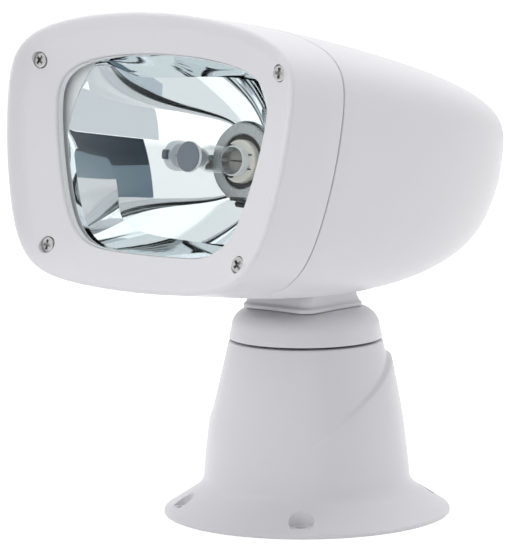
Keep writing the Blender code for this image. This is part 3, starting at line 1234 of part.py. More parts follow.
def build_head(finishes, tilt_axis):
    """Everything that tilts."""
    white, steel = finishes['white_body'], finishes['steel']
    head_piece('bezel', bezel_shape(), white, tilt_axis)
    head_piece('rear_housing', rear_housing_shape(), white, tilt_axis)

    rim = RIM.points(STATIONS)
    seal_front, seal_rear = BEZEL_REAR_U + GAP, HOUSING_FRONT_U - GAP
    outside, inside = inset(rim, SEAL_SETBACK), inset(rim, HEAD_WALL)
    seal = loft([row(outside, seal_front), row(outside, seal_rear), row(inside, seal_rear),
                 row(inside, seal_front)], cyclic=True)
    head_piece('housing_seal', seal, finishes['rubber'], tilt_axis)

    opening = APERTURE.points(STATIONS)
    lens_edge = inset(opening, -LENS_LAP)
    gasket_inner = inset(opening, -GASKET_SETBACK)
    gasket = loft([row(gasket_inner, GASKET_U), row(lens_edge, GASKET_U),
                   row(lens_edge, GASKET_U + GASKET_THICKNESS),
                   row(gasket_inner, GASKET_U + GASKET_THICKNESS)], cyclic=True)
    head_piece('lens_gasket', gasket, finishes['rubber'], tilt_axis)
    centre = (0, APERTURE.middle)
    lens = loft([[(centre[0], LENS_U, centre[1])], row(lens_edge, LENS_U),
                 row(lens_edge, LENS_U + LENS_THICKNESS),
                 [(centre[0], LENS_U + LENS_THICKNESS, centre[1])]])
    head_piece('lens_glass', lens, finishes['glass'], tilt_axis)
    head_piece('reflector', reflector_shape(), finishes['mirror'], tilt_axis)
    build_lamp(finishes, tilt_axis)
    for k, (x, z) in enumerate(face_screws(), 1):
        forward = laid(screw(FACE_SCREW_HEAD, FACE_HEAD_HEIGHT, FACE_SCREW_SHANK,
                             FACE_SCREW_REACH - FACE_SCREW_U, segments=SMALL_ROUND), '-Z')
        forward = moved(laid(moved(forward, 0, 0, FACE_SCREW_U), 'Y'), x, 0, z)
        head_piece(f'bezel_screw_{k}', forward, steel, tilt_axis)
    build_tilt_drive(finishes, tilt_axis)


def build_tilt_drive(finishes, tilt_axis):
    """The sheet bracket that carries the head on the tilt shaft, and the motor that turns it."""
    steel = finishes['steel']
    arm, outside, sheet = ARM_X, ARM_OUTSIDE, BRACKET_SHEET
    foot, web = BRACKET_FOOT_Z, BRACKET_WEB_Z
    half = [(arm, web), (arm, foot), (FOOT_OUTSIDE, foot), (FOOT_OUTSIDE, foot + sheet),
            (outside, foot + sheet), (outside, web + sheet)]
    section = half + [(-x, z) for x, z in reversed(half)]
    bracket = laid(prism([(x, -z) for x, z in section], BRACKET_FRONT_U, BRACKET_REAR_U), 'Y')
    drive_u, drive_z = drive_point()
    reach = outside + BITE
    bush_bore = TILT_SHAFT_RADIUS + SLIDE / 2
    bush_seat = bush_bore + TILT_BUSH_WALL
    window = rounded_rectangle(-arm + BRACKET_WINDOW, arm - BRACKET_WINDOW,
                               BRACKET_FRONT_U + BRACKET_WINDOW, BRACKET_REAR_U - BRACKET_WINDOW,
                               BRACKET_WINDOW / 2)
    bracket = cut(
        bracket,
        moved(laid(disc(bush_seat + GAP, -reach, reach, SMALL_ROUND), 'X'), 0, PIVOT_U, -PIVOT_DROP),
        moved(laid(disc(DRIVE_SHAFT_RADIUS + SLIDE, 0, reach, SMALL_ROUND), 'X'), 0, drive_u, drive_z),
        prism(window, web - BITE, web + sheet + BITE),
        group([moved(disc(SCREW_SHANK + GAP, foot - BITE, foot + sheet + BITE, SCREW_ROUND), x, u)
               for x, u in bracket_screw_places()]))
    head_piece('tilt_bracket', bracket, steel, tilt_axis)
    head_z = BRACKET_FOOT_TOP + GAP + SMALL_HEAD_HEIGHT
    for k, (x, u) in enumerate(bracket_screw_places(), 1):
        down = screw(SMALL_HEAD, SMALL_HEAD_HEIGHT, SCREW_SHANK,
                     SMALL_HEAD_HEIGHT + GAP + sheet + BRACKET_BITE)
        head_piece(f'bracket_screw_{k}', moved(down, x, u, head_z), steel, tilt_axis)

    for side, sign in (('right', 1), ('left', -1)):
        bush = flanged_bush(bush_bore, bush_seat, bush_seat + TILT_BUSH_LIP, sign * (arm - GAP),
                            BUSH_FLANGE, sign * outside, 12)
        head_piece(f'tilt_bush_{side}', moved(laid(bush, 'X'), 0, PIVOT_U, -PIVOT_DROP),
                   finishes['brass'], tilt_axis)

    gearbox = disc(GEARBOX_RADIUS, TILT_GEARBOX_X, TILT_GEARBOX_X + GEARBOX_LENGTH, edge=GEARBOX_EDGE)
    head_piece('tilt_gearbox', moved(laid(gearbox, 'X'), 0, drive_u, drive_z), steel, tilt_axis)
    motor = laid(motor_can(TILT_MOTOR_X, TILT_MOTOR_END), 'X')
    head_piece('tilt_motor', moved(motor, 0, drive_u, drive_z), finishes['motor'], tilt_axis)


def build_pinions(finishes, tilt_axis):
    """The two motor pinions, each on the shaft of its gearbox."""
    low, high = PAN_GEAR_Z - PINION_EXTRA / 2, PINION_TOP_Z
    facing = -math.pi / 2 + math.pi / PINION_TEETH
    teeth = prism(gear_outline(PAN_MODULE, PINION_TEETH, phase=facing), low, high)
    shaft = disc(DRIVE_SHAFT_RADIUS, MOTOR_PLATE_Z, high + BITE, SMALL_ROUND)
    piece('pan_pinion', joined(teeth, shaft), finishes['brass'], None, (0, PAN_CENTRES, 0))

    drive_u, drive_z = drive_point()
    low, high = SECTOR_X - PINION_EXTRA / 2, SECTOR_OUTSIDE + PINION_EXTRA / 2
    facing = DRIVE_ANGLE + math.pi + math.pi / PINION_TEETH
    teeth = prism(gear_outline(TILT_MODULE, PINION_TEETH, phase=facing), low, high)
    shape = joined(teeth, disc(DRIVE_SHAFT_RADIUS, low - BITE, ARM_OUTSIDE, SMALL_ROUND))
    shape.transform(Matrix(((0, 0, 1, 0), (1, 0, 0, 0), (0, 1, 0, 0), (0, 0, 0, 1))))
    piece('tilt_pinion', shape, finishes['brass'], tilt_axis,
          (0, drive_u - PIVOT_U, drive_z + PIVOT_DROP))


def build_finishes():
    """The part's materials by name."""
    return {
        'white_body': material('white_body', (0.78, 0.78, 0.80), 0.35),
        'steel': material('steel', (0.60, 0.60, 0.58), 0.30, 1.0),
        'brass': material('brass', (0.72, 0.55, 0.28), 0.35, 1.0),
        'dark_plastic': material('dark_plastic', (0.05, 0.05, 0.055), 0.55),
        'rubber': material('rubber', (0.03, 0.03, 0.03), 0.80),
        'board': material('board', (0.03, 0.20, 0.08), 0.45),
        'terminal': material('terminal', (0.05, 0.28, 0.12), 0.50),
        'motor': material('motor', (0.45, 0.45, 0.46), 0.40, 1.0),
        'washer': material('washer', (0.75, 0.73, 0.66), 0.50),
        'nylon': material('nylon', (0.82, 0.80, 0.72), 0.45),
        'chrome': material('chrome', (0.75, 0.76, 0.78), 0.12, 1.0),
        'mirror': material('mirror', (0.90, 0.91, 0.92), 0.05, 1.0),
        'ceramic': material('ceramic', (0.72, 0.68, 0.56), 0.60),
        'glass': material('glass', (1.0, 1.0, 1.0), 0.02, 0.0, 1.0, 0.25),
        'tungsten': material('tungsten', (0.35, 0.33, 0.32), 0.40, 1.0),
        'cap_grey': material('cap_grey', (0.19, 0.22, 0.26), 0.45),
    }


def main():
    """Builds the whole searchlight in an emptied scene."""
    for item in list(bpy.data.objects):
        bpy.data.objects.remove(item)
    finishes = build_finishes()
    tilt_axis = bpy.data.objects.new('tilt_axis', None)
    tilt_axis.location = (0, 0, PIVOT_Z)
    tilt_axis.rotation_euler = (-HEAD_PITCH, 0, 0)
    bpy.context.scene.collection.objects.link(tilt_axis)
    build_base(finishes)
    build_turret(finishes)
    build_head(finishes, tilt_axis)
    build_pinions(finishes, tilt_axis)
    bpy.context.view_layer.update()


main()
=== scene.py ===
"""Marine searchlight: the visible surfaces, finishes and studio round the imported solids.

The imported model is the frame, in metres, with +Z up and the lens looking along -Y. Each class
below is one sub-assembly of the light: it holds the sizes, makes the meshes and dresses them.
Pieces of the head are drawn in the head's own frame, as x to the right, u back from the plane of
the bezel's front rim, and z up within that plane, and are then hung on the tilt axis.
"""
import json
import logging
import math
from dataclasses import dataclass, field
from enum import Enum
from typing import Sequence, Union

import bmesh
import bpy
import numpy as np
from mathutils import Matrix, Vector

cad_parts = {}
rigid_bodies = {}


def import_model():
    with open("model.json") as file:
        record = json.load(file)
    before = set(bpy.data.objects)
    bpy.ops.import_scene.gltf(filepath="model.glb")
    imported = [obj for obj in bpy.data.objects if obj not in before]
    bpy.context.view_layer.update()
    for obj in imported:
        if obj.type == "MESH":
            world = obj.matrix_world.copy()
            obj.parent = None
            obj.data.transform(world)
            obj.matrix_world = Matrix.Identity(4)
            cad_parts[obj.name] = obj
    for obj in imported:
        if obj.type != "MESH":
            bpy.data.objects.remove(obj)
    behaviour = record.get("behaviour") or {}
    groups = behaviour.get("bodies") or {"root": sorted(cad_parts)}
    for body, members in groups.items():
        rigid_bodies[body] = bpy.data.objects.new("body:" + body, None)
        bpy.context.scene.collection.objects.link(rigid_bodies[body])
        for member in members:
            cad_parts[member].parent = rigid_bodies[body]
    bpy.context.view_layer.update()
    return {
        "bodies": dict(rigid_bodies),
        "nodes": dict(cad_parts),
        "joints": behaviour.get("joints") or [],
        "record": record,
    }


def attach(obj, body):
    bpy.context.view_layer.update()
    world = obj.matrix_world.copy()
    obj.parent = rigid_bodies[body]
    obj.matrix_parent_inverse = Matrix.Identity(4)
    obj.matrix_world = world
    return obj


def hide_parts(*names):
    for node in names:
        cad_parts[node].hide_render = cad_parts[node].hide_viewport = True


LOG = logging.getLogger("searchlight")
Colour = tuple[float, float, float]
Pair = tuple[float, float]
Value = Union[float, "Signal"]

FINE_ROUND = 160        # facets round the large turned pieces
MIDDLE_ROUND = 72       # facets round the lamp's base and cap
SMALL_ROUND = 48        # facets round the capsule and small turned pieces
HEAD_STATIONS = 200     # points round every section of the head
SMOOTH_ANGLE = math.radians(34)
QUARTER = math.pi / 2
FULL_WHITE: Colour = (1.0, 1.0, 1.0)
UPRIGHT = Matrix(((1, 0, 0, 0), (0, 0, 1, 0), (0, 1, 0, 0), (0, 0, 0, 1)))  # swaps u and z


class Body(Enum):
    """The moving bodies that a piece can ride on."""
    BASE = "base"
    TURRET = "turret"
    HEAD = "head"


class Slot(Enum):
    """The record's material slots."""
    WHITE = "white_body"
    STEEL = "steel"
    BRASS = "brass"
    DARK = "dark_plastic"
    RUBBER = "rubber"
    BOARD = "board"
    TERMINAL = "terminal"
    MOTOR = "motor"
    WASHER = "washer"
    NYLON = "nylon"
    CHROME = "chrome"
    MIRROR = "mirror"
    CERAMIC = "ceramic"
    GLASS = "glass"
    TUNGSTEN = "tungsten"
    CAP = "cap_grey"


# Node trees

class Signal:
    """An output socket that takes part in Python arithmetic by adding Math nodes."""

    def __init__(self, sheet: "Sheet", socket: bpy.types.NodeSocket | None) -> None:
        """Wraps a socket of a sheet."""
        self.sheet = sheet
        self.socket = socket

    def _math(self, operation: str, first: Value, second: Value) -> "Signal":
        """Adds one Math node."""
        return self.sheet.node("ShaderNodeMath", {"operation": operation}, [first, second])

    def __add__(self, other: Value) -> "Signal":
        """Adds a value."""
        return self._math("ADD", self, other)

    def __radd__(self, other: Value) -> "Signal":
        """Adds a value, reflected."""
        return self._math("ADD", other, self)

    def __sub__(self, other: Value) -> "Signal":
        """Subtracts a value."""
        return self._math("SUBTRACT", self, other)

    def __rsub__(self, other: Value) -> "Signal":
        """Subtracts from a value."""
        return self._math("SUBTRACT", other, self)

    def __mul__(self, other: Value) -> "Signal":
        """Multiplies by a value."""
        return self._math("MULTIPLY", self, other)

    def __rmul__(self, other: Value) -> "Signal":
        """Multiplies by a value, reflected."""
        return self._math("MULTIPLY", other, self)

    def __truediv__(self, other: Value) -> "Signal":
        """Divides by a value."""
        return self._math("DIVIDE", self, other)

    def __pow__(self, other: Value) -> "Signal":
        """Raises to a power."""
        return self._math("POWER", self, other)

    def least(self, other: Value) -> "Signal":
        """The smaller of this and a value."""
        return self._math("MINIMUM", self, other)

    def most(self, other: Value) -> "Signal":
        """The larger of this and a value."""
        return self._math("MAXIMUM", self, other)


class Sheet:
    """A node tree that is filled from Python."""

    def __init__(self, tree: bpy.types.NodeTree) -> None:
        """Wraps a tree."""
        self.tree = tree

    def feed(self, socket: bpy.types.NodeSocket, value: object) -> None:
        """Feeds an input.

        Args:
            socket: the input.
            value: a signal to link, or the socket's own value.
        """
        if isinstance(value, Signal):
            self.tree.links.new(value.socket, socket)
        elif isinstance(value, tuple) and socket.type == "RGBA" and len(value) == 3:
            socket.default_value = (*value, 1.0)
        else:
            socket.default_value = value

    def node(self, kind: str, settings: dict | None = None, inputs: dict | list | None = None,
             out: int | str = 0) -> Signal:
        """Adds one node.

        Args:
            kind: the node's type.
            settings: its properties, which are set first.
            inputs: values or signals, by socket name or number.
            out: which output is returned.

        Returns:
            The output as a signal.
        """
        made = self.tree.nodes.new(kind)
        for name, value in (settings or {}).items():
            setattr(made, name, value)
        pairs = inputs.items() if isinstance(inputs, dict) else enumerate(inputs or [])
        for key, value in pairs:
            self.feed(made.inputs[key], value)
        return Signal(self, made.outputs[out] if made.outputs else None)


class Paintwork(Sheet):
    """The shader tree of one finish."""

    def __init__(self, name: str) -> None:
        """Starts a material with an empty tree.

        Args:
            name: the material's name.
        """
        self.material = bpy.data.materials.new(name)
        self.material.use_nodes = True
        super().__init__(self.material.node_tree)
        self.tree.nodes.clear()
        self.place = self.node("ShaderNodeTexCoord", out="Object")

    def stretched(self, scale: tuple[float, float, float]) -> Signal:
        """Object coordinates, scaled by axis."""
        return self.node("ShaderNodeMapping", {"vector_type": "POINT"},
                         {"Vector": self.place, "Scale": scale})

    def noise(self, size: float, detail: float = 3.0, where: Signal | None = None) -> Signal:
        """A cloud whose blotches are about this size in metres, from 0 to 1."""
        return self.node("ShaderNodeTexNoise", None,
                         {"Vector": where or self.place, "Scale": 1.0 / size, "Detail": detail})

    def blend(self, first: object, second: object, share: Value) -> Signal:
        """A colour between two colours."""
        return self.node("ShaderNodeMix", {"data_type": "RGBA"}, {0: share, 6: first, 7: second}, 2)

    def relief(self, height: Signal, depth: float) -> Signal:
        """A bumped normal from a height of 0 to 1 and its depth in metres."""
        return self.node("ShaderNodeBump", None,
                         {"Strength": 1.0, "Distance": depth, "Height": height}, "Normal")

    def principled(self, sockets: dict) -> Signal:
        """A Principled shader with these sockets."""
        return self.node("ShaderNodeBsdfPrincipled", None, sockets)

    def glow(self, colour: Colour, strength: Value) -> Signal:
        """An emission shader."""
        return self.node("ShaderNodeEmission", None, {"Color": colour, "Strength": strength})

    def finish(self, shader: Signal) -> bpy.types.Material:
        """Ends the tree in this shader."""
        self.node("ShaderNodeOutputMaterial", None, {"Surface": shader})
        return self.material


class Recipe(Sheet):
    """A Geometry Nodes tree with named sizes, which ends as a plain mesh of one finish."""

    def __init__(self, name: str) -> None:
        """Starts an empty tree with a geometry input.

        Args:
            name: the tree's name.
        """
        super().__init__(bpy.data.node_groups.new(name, "GeometryNodeTree"))
        self.tree.interface.new_socket("Geometry", in_out="INPUT",
                                       socket_type="NodeSocketGeometry")
        self.entry = self.tree.nodes.new("NodeGroupInput")
        self.geometry = Signal(self, self.entry.outputs[0])

    def size(self, name: str, kind: str = "Float") -> Signal:
        """Adds a named input of the tree."""
        self.tree.interface.new_socket(name, in_out="INPUT", socket_type=f"NodeSocket{kind}")
        return Signal(self, self.entry.outputs[name])

    def attribute(self, name: str, kind: str) -> Signal:
        """Reads a named attribute of the mesh."""
        return self.node("GeometryNodeInputNamedAttribute", {"data_type": kind}, {"Name": name},
                         "Attribute")

    def close(self, geometry: Signal) -> None:
        """Ends the tree in Realize Instances and Set Material.

        Args:
            geometry: what the tree has made.
        """
        finish = self.size("Finish", "Material")
        real = self.node("GeometryNodeRealizeInstances", None, {"Geometry": geometry})
        dressed = self.node("GeometryNodeSetMaterial", None,
                            {"Geometry": real, "Material": finish})
        self.tree.interface.new_socket("Geometry", in_out="OUTPUT",
                                       socket_type="NodeSocketGeometry")
        self.tree.links.new(dressed.socket, self.tree.nodes.new("NodeGroupOutput").inputs[0])

    def cook(self, start: "Stock", values: dict) -> "Stock":
        """Runs the tree on a mesh.

        Args:
            start: the mesh that goes in.
            values: the tree's inputs by name.

        Returns:
            The result as a plain mesh.
        """
        host = start.stand_in()
        modifier = host.modifiers.new("recipe", "NODES")
        modifier.node_group = self.tree
        for item in self.tree.interface.items_tree:
            if item.in_out == "INPUT" and item.name in values:
                modifier[item.identifier] = values[item.name]
        return Stock.taken(host)


# Finishes

def shade(colour: Colour, factor: float) -> Colour:
    """A colour, darker or lighter by a factor."""
    return tuple(min(1.0, c * factor) for c in colour)


@dataclass(frozen=True)
class Moulding:
    """Moulded or sprayed surface: a faint mottle, a fine grain and a soft gloss."""
    name: str
    colour: Colour
    roughness: float
    grain_size: float = 0.0009
    grain_depth: float = 0.000006
    mottle: float = 0.97
    cloud_size: float = 0.045
    cloud_haze: float = 0.08
    grain_haze: float = 0.06

    def material(self) -> bpy.types.Material:
        """Builds the shader.

        Returns:
            The finish as a material.
        """
        work = Paintwork(self.name)
        cloud, grain = work.noise(self.cloud_size), work.noise(self.grain_size)
        colour = work.blend(self.colour, shade(self.colour, self.mottle), cloud)
        roughness = (self.roughness + (cloud - 0.5) * self.cloud_haze
                     + (grain - 0.5) * self.grain_haze)
        return work.finish(work.principled({
            "Base Color": colour, "Roughness": roughness, "IOR": 1.46,
            "Normal": work.relief(grain, self.grain_depth)}))


@dataclass(frozen=True)
class Metal:
    """Machined or drawn metal with fine tool lines and a slight stain."""
    name: str
    colour: Colour
    roughness: float
    lines: tuple[float, float, float] = (1.0, 1.0, 14.0)
    line_depth: float = 0.000008
    line_size: float = 0.0016
    line_haze: float = 0.22
    stain_size: float = 0.012
    stain_haze: float = 0.10
    lightest: float = 1.06
    darkest: float = 0.86

    def material(self) -> bpy.types.Material:
        """Builds the shader.

        Returns:
            The finish as a material.
        """
        work = Paintwork(self.name)
        streak = work.noise(self.line_size, where=work.stretched(self.lines))
        stain = work.noise(self.stain_size)
        colour = work.blend(shade(self.colour, self.lightest), shade(self.colour, self.darkest),
                            stain)
        roughness = (self.roughness + (streak - 0.5) * self.line_haze
                     + (stain - 0.5) * self.stain_haze)
        return work.finish(work.principled({
            "Base Color": colour, "Metallic": 1.0, "Roughness": roughness,
            "Normal": work.relief(streak, self.line_depth)}))


@dataclass(frozen=True)
class MirrorCoat:
    """Vapour-coated mirror over a moulding, with the moulding's long waves."""
    name: str
    colour: Colour
    roughness: float
    wave_size: float
    wave_depth: float
    haze_size: float = 0.020
    haze_shade: float = 0.965
    haze_roughness: float = 0.01

    def material(self) -> bpy.types.Material:
        """Builds the shader.

        Returns:
            The finish as a material.
        """
        work = Paintwork(self.name)
        wave, haze = work.noise(self.wave_size, 1.0), work.noise(self.haze_size)
        return work.finish(work.principled({
            "Base Color": work.blend(self.colour, shade(self.colour, self.haze_shade), haze),
            "Metallic": 1.0, "Roughness": self.roughness + haze * self.haze_roughness,
            "Normal": work.relief(wave, self.wave_depth)}))


@dataclass(frozen=True)
class ClearGlass:
    """Thin clear glass: it lets light straight through and shines at its edges."""
    name: str
    tint: Colour
    edge_colour: Colour
    edge_share: float
    gloss: float
    edge_power: float
    glint_power: float = 5.0
    least_glint: float = 0.04
    shine_roughness: float = 0.02
    edge_roughness: float = 0.10

    def material(self) -> bpy.types.Material:
        """Builds the shader.

        Returns:
            The finish as a material.
        """
        work = Paintwork(self.name)
        clear = work.node("ShaderNodeBsdfTransparent", None, {"Color": self.tint})
        shine = work.principled({"Base Color": FULL_WHITE, "Metallic": 1.0,
                                 "Roughness": self.shine_roughness})
        rim = work.principled({"Base Color": self.edge_colour, "Roughness": self.edge_roughness})
        facing = work.node("ShaderNodeLayerWeight", None, {"Blend": 0.5}, "Facing")
        glint = facing ** self.glint_power * (1.0 - self.least_glint) + self.least_glint
        body = work.node("ShaderNodeMixShader", None,
                         [facing ** self.edge_power * self.edge_share, clear, rim])
        return work.finish(work.node("ShaderNodeMixShader", None,
                                     [glint * self.gloss, body, shine]))


@dataclass(frozen=True)
class CircuitBoard:
    """Green solder mask with faint copper tracks under it."""
    name: str
    mask: Colour
    track: Colour
    pitch: float = 90.0
    wander: float = 3.0
    gap: float = 0.78
    sharpness: float = 9.0
    roughness: float = 0.42
    track_gloss: float = 0.08
    track_height: float = 0.00002

    def material(self) -> bpy.types.Material:
        """Builds the shader.

        Returns:
            The finish as a material.
        """
        work = Paintwork(self.name)
        wave = work.node("ShaderNodeTexWave", {"bands_direction": "X"}, {
            "Vector": work.place, "Scale": self.pitch, "Distortion": self.wander,
            "Detail": 1.0}, 1)
        lines = ((wave - self.gap) * self.sharpness).most(0.0).least(1.0)
        return work.finish(work.principled({
            "Base Color": work.blend(self.mask, self.track, lines),
            "Roughness": self.roughness - lines * self.track_gloss,
            "Normal": work.relief(lines, self.track_height)}))


EVEN = (1.0, 1.0, 1.0)      # tool lines of no direction
CAPSULE_GLASS = ClearGlass("capsule_glass", (0.985, 0.992, 0.992), (0.62, 0.68, 0.68), 0.45, 0.70,
                           2.6)
TRIM_LACQUER = Moulding("lens_trim_lacquer", (0.88, 0.90, 0.93), 0.22, 0.0015, 0.00001, 0.99)
RING_METAL = Metal("lamp_ring_metal", (0.40, 0.425, 0.435), 0.24, EVEN, 0.000004)
PALE_SILICONE = Moulding("pale_silicone", (0.66, 0.69, 0.70), 0.50, 0.0010, 0.000010)
SCREW_STEEL = Metal("screw_steel", (0.52, 0.52, 0.52), 0.26, EVEN, 0.000004)


def light_finishes() -> dict[Slot, bpy.types.Material]:
    """Makes the finish of every material slot.

    Returns:
        The materials by slot.
    """
    makers = {
        Slot.WHITE: Moulding("white_body", (0.725, 0.722, 0.752), 0.36, 0.0011, 0.000005, 0.985),
        Slot.STEEL: Metal("stainless_steel", (0.62, 0.62, 0.61), 0.30),
        Slot.BRASS: Metal("brass", (0.74, 0.55, 0.27), 0.32),
        Slot.DARK: Moulding("black_nylon", (0.045, 0.045, 0.050), 0.52, 0.0007, 0.00002, 0.8),
        Slot.RUBBER: Moulding("black_rubber", (0.028, 0.028, 0.030), 0.78, 0.0012, 0.00003, 0.75),
        Slot.BOARD: CircuitBoard("circuit_board", (0.020, 0.150, 0.060), (0.060, 0.300, 0.120)),
        Slot.TERMINAL: Moulding("terminal_green", (0.045, 0.270, 0.110), 0.48),
        Slot.MOTOR: Metal("motor_can", (0.46, 0.46, 0.47), 0.38, (14.0, 14.0, 1.0)),
        Slot.WASHER: Moulding("acetal_washer", (0.74, 0.72, 0.65), 0.45),
        Slot.NYLON: Moulding("natural_nylon", (0.80, 0.78, 0.70), 0.42, 0.0010, 0.00001),
        Slot.CHROME: Metal("satin_chrome", (0.60, 0.62, 0.64), 0.22, EVEN, 0.000004),
        Slot.MIRROR: MirrorCoat("reflector_mirror", (0.850, 0.885, 0.900), 0.012, 0.034, 0.000012),
        Slot.CERAMIC: Moulding("lamp_ceramic", (0.86, 0.84, 0.76), 0.62, 0.0006, 0.00003, 0.88),
        Slot.GLASS: ClearGlass("lens_glass", (0.992, 0.998, 0.996), (0.40, 0.50, 0.50), 0.10, 0.14,
                               8.0),
        Slot.TUNGSTEN: Metal("tungsten", (0.34, 0.33, 0.32), 0.42),
        Slot.CAP: Moulding("cap_enamel", (0.175, 0.205, 0.250), 0.50, 0.0006, 0.000010, 0.92),
    }
    return {slot: maker.material() for slot, maker in makers.items()}


# Meshes

def put(name: str, data: bpy.types.ID) -> bpy.types.Object:
    """Adds an object to the scene.

    Args:
        name: its name.
        data: its mesh, lamp or camera.

    Returns:
        The object.
    """
    item = bpy.data.objects.new(name, data)
    bpy.context.scene.collection.objects.link(item)
    return item


def discard(item: bpy.types.Object) -> None:
    """Removes a helper object and its mesh.

    Args:
        item: the helper.
    """
    mesh = item.data
    bpy.data.objects.remove(item)
    bpy.data.meshes.remove(mesh)


def plain_mesh(name: str, points: Sequence, faces: Sequence[tuple] = ()) -> bpy.types.Mesh:
    """Makes a mesh from points and faces.

    Args:
        name: its name.
        points: its vertices.
        faces: the numbers of each face's vertices.

    Returns:
        The mesh.
    """
    mesh = bpy.data.meshes.new(name)
    mesh.from_pydata(points, [], faces)
    return mesh


class Stock:
    """A mesh on the bench: it is skinned or turned, cut, joined, and then fitted to the light."""

    def __init__(self, mesh: bpy.types.Mesh) -> None:
        """Wraps a mesh."""
        self.mesh = mesh

    @classmethod
    def skinned(cls, rows: Sequence[np.ndarray], cyclic: bool = False) -> "Stock":
        """Skins rows of points in order.

        Args:
            rows: arrays of points, all of one length, or single points that close an end.
            cyclic: joins the last row to the first.

        Returns:
            A closed mesh with its faces outwards.
        """
        rows = [np.asarray(row, float).reshape(-1, 3) for row in rows]
        starts = np.cumsum([0] + [len(row) for row in rows])
        pairs = list(zip(range(len(rows)), range(1, len(rows))))
        if cyclic:
            pairs.append((len(rows) - 1, 0))
        faces = []
        for a, b in pairs:
            count = max(len(rows[a]), len(rows[b]))
            for i in range(count):
                j = (i + 1) % count
                corners = (starts[a] + i % len(rows[a]), starts[a] + j % len(rows[a]),
                           starts[b] + j % len(rows[b]), starts[b] + i % len(rows[b]))
                faces.append(tuple(int(c) for c in dict.fromkeys(corners)))
        return cls(plain_mesh("stock", np.concatenate(rows).tolist(), faces)).outward()

    @classmethod
    def turned(cls, profile: Sequence[Pair], facets: int = SMALL_ROUND,
               sweep_u: bool = False) -> "Stock":
        """Turns (radius, height) points about Z, or about u where sweep_u is set.

        Args:
            profile: points from one end to the other. Off the axis it closes on itself.
            facets: facets round the full turn.
            sweep_u: lays the axis along u, as for the lamp.

        Returns:
            A closed turned mesh.
        """
        angles = 2 * math.pi * np.arange(facets) / facets
        rows = []
        for radius, height in profile:
            spread = angles if radius else angles[:1]
            across, along = radius * np.cos(spread), radius * np.sin(spread)
            level = np.full_like(across, height)
            rows.append(np.stack([across, level, along] if sweep_u else [across, along, level], 1))
        return cls.skinned(rows, cyclic=profile[0][0] != 0)

    @classmethod
    def rod(cls, radius: float, low: float, high: float, facets: int = SMALL_ROUND,
            sweep_u: bool = False) -> "Stock":
        """A plain round bar between two heights, turned like the others."""
        return cls.turned([(0, low), (radius, low), (radius, high), (0, high)], facets, sweep_u)

    @classmethod
    def prism(cls, outline: Sequence[Pair], low: float, high: float) -> "Stock":
        """Extrudes a closed outline up Z, with flat ends.

        Args:
            outline: its (x, y) points.
            low: the height of its foot.
            high: the height of its top.

        Returns:
            A closed mesh.
        """
        count = len(outline)
        points = [(x, y, z) for z in (low, high) for x, y in outline]
        faces = [tuple(range(count)), tuple(range(count, 2 * count))]
        faces += [(i, (i + 1) % count, count + (i + 1) % count, count + i) for i in range(count)]
        return cls(plain_mesh("stock", points, faces)).outward()

    @classmethod
    def taken(cls, host: bpy.types.Object) -> "Stock":
        """Takes the evaluated mesh of a helper object, which is then removed.

        Args:
            host: the helper, with its modifiers.

        Returns:
            The mesh without modifiers.
        """
        bpy.context.view_layer.update()
        ready = host.evaluated_get(bpy.context.evaluated_depsgraph_get())
        made = cls(bpy.data.meshes.new_from_object(ready))
        discard(host)
        return made

    @classmethod
    def merged(cls, items: Sequence["Stock"]) -> "Stock":
        """Puts several meshes into one, without joining their surfaces. They are used up.

        Args:
            items: the meshes.

        Returns:
            All of them as one mesh.
        """
        whole = bmesh.new()
        for item in items:
            whole.from_mesh(item.mesh)
            bpy.data.meshes.remove(item.mesh)
        mesh = bpy.data.meshes.new("stock")
        whole.to_mesh(mesh)
        whole.free()
        return cls(mesh)

    def copies(self, places: Sequence[Matrix]) -> "Stock":
        """Copies the mesh, which is used up.

        Args:
            places: a matrix for each copy.

        Returns:
            The copies as one mesh.
        """
        items = [Stock(self.mesh.copy()).placed(place) for place in places]
        bpy.data.meshes.remove(self.mesh)
        return Stock.merged(items)

    def outward(self) -> "Stock":
        """Points every face outwards.

        Returns:
            The same mesh.
        """
        work = bmesh.new()
        work.from_mesh(self.mesh)
        bmesh.ops.recalc_face_normals(work, faces=work.faces)
        work.to_mesh(self.mesh)
        work.free()
        return self

    def placed(self, place: Matrix) -> "Stock":
        """Moves the mesh by a matrix."""
        self.mesh.transform(place)
        return self

    def stand_in(self) -> bpy.types.Object:
        """A helper object that holds this mesh."""
        return put("stand_in", self.mesh)

    def _combined(self, tools: Sequence["Stock"], operation: str) -> "Stock":
        """Runs an exact Boolean with each tool.

        Args:
            tools: the other meshes, which are used up.
            operation: what the Boolean does.

        Returns:
            The result.
        """
        host = self.stand_in()
        guides = [tool.stand_in() for tool in tools]
        for guide in guides:
            modifier = host.modifiers.new("boolean", "BOOLEAN")
            modifier.operation = operation
            modifier.solver = "EXACT"
            modifier.object = guide
        result = Stock.taken(host)
        for guide in guides:
            discard(guide)
        return result

    def cut(self, *tools: "Stock") -> "Stock":
        """This mesh with every tool taken away."""
        return self._combined(tools, "DIFFERENCE")

    def joined(self, *tools: "Stock") -> "Stock":
        """This mesh with every tool fused on."""
        return self._combined(tools, "UNION")


def bend(start: np.ndarray, corner: np.ndarray, end: np.ndarray, steps: int) -> list[np.ndarray]:
    """Rows that round a corner between two other rows, both ends included."""
    shares = [k / steps for k in range(steps + 1)]
    return [(1 - s) ** 2 * start + 2 * s * (1 - s) * corner + s * s * end for s in shares]


def bend_points(start: Pair, corner: Pair, end: Pair, steps: int) -> list[Pair]:
    """The same rounded corner for three (radius, height) points."""
    rows = bend(np.array(start), np.array(corner), np.array(end), steps)
    return [(float(a), float(b)) for a, b in rows]


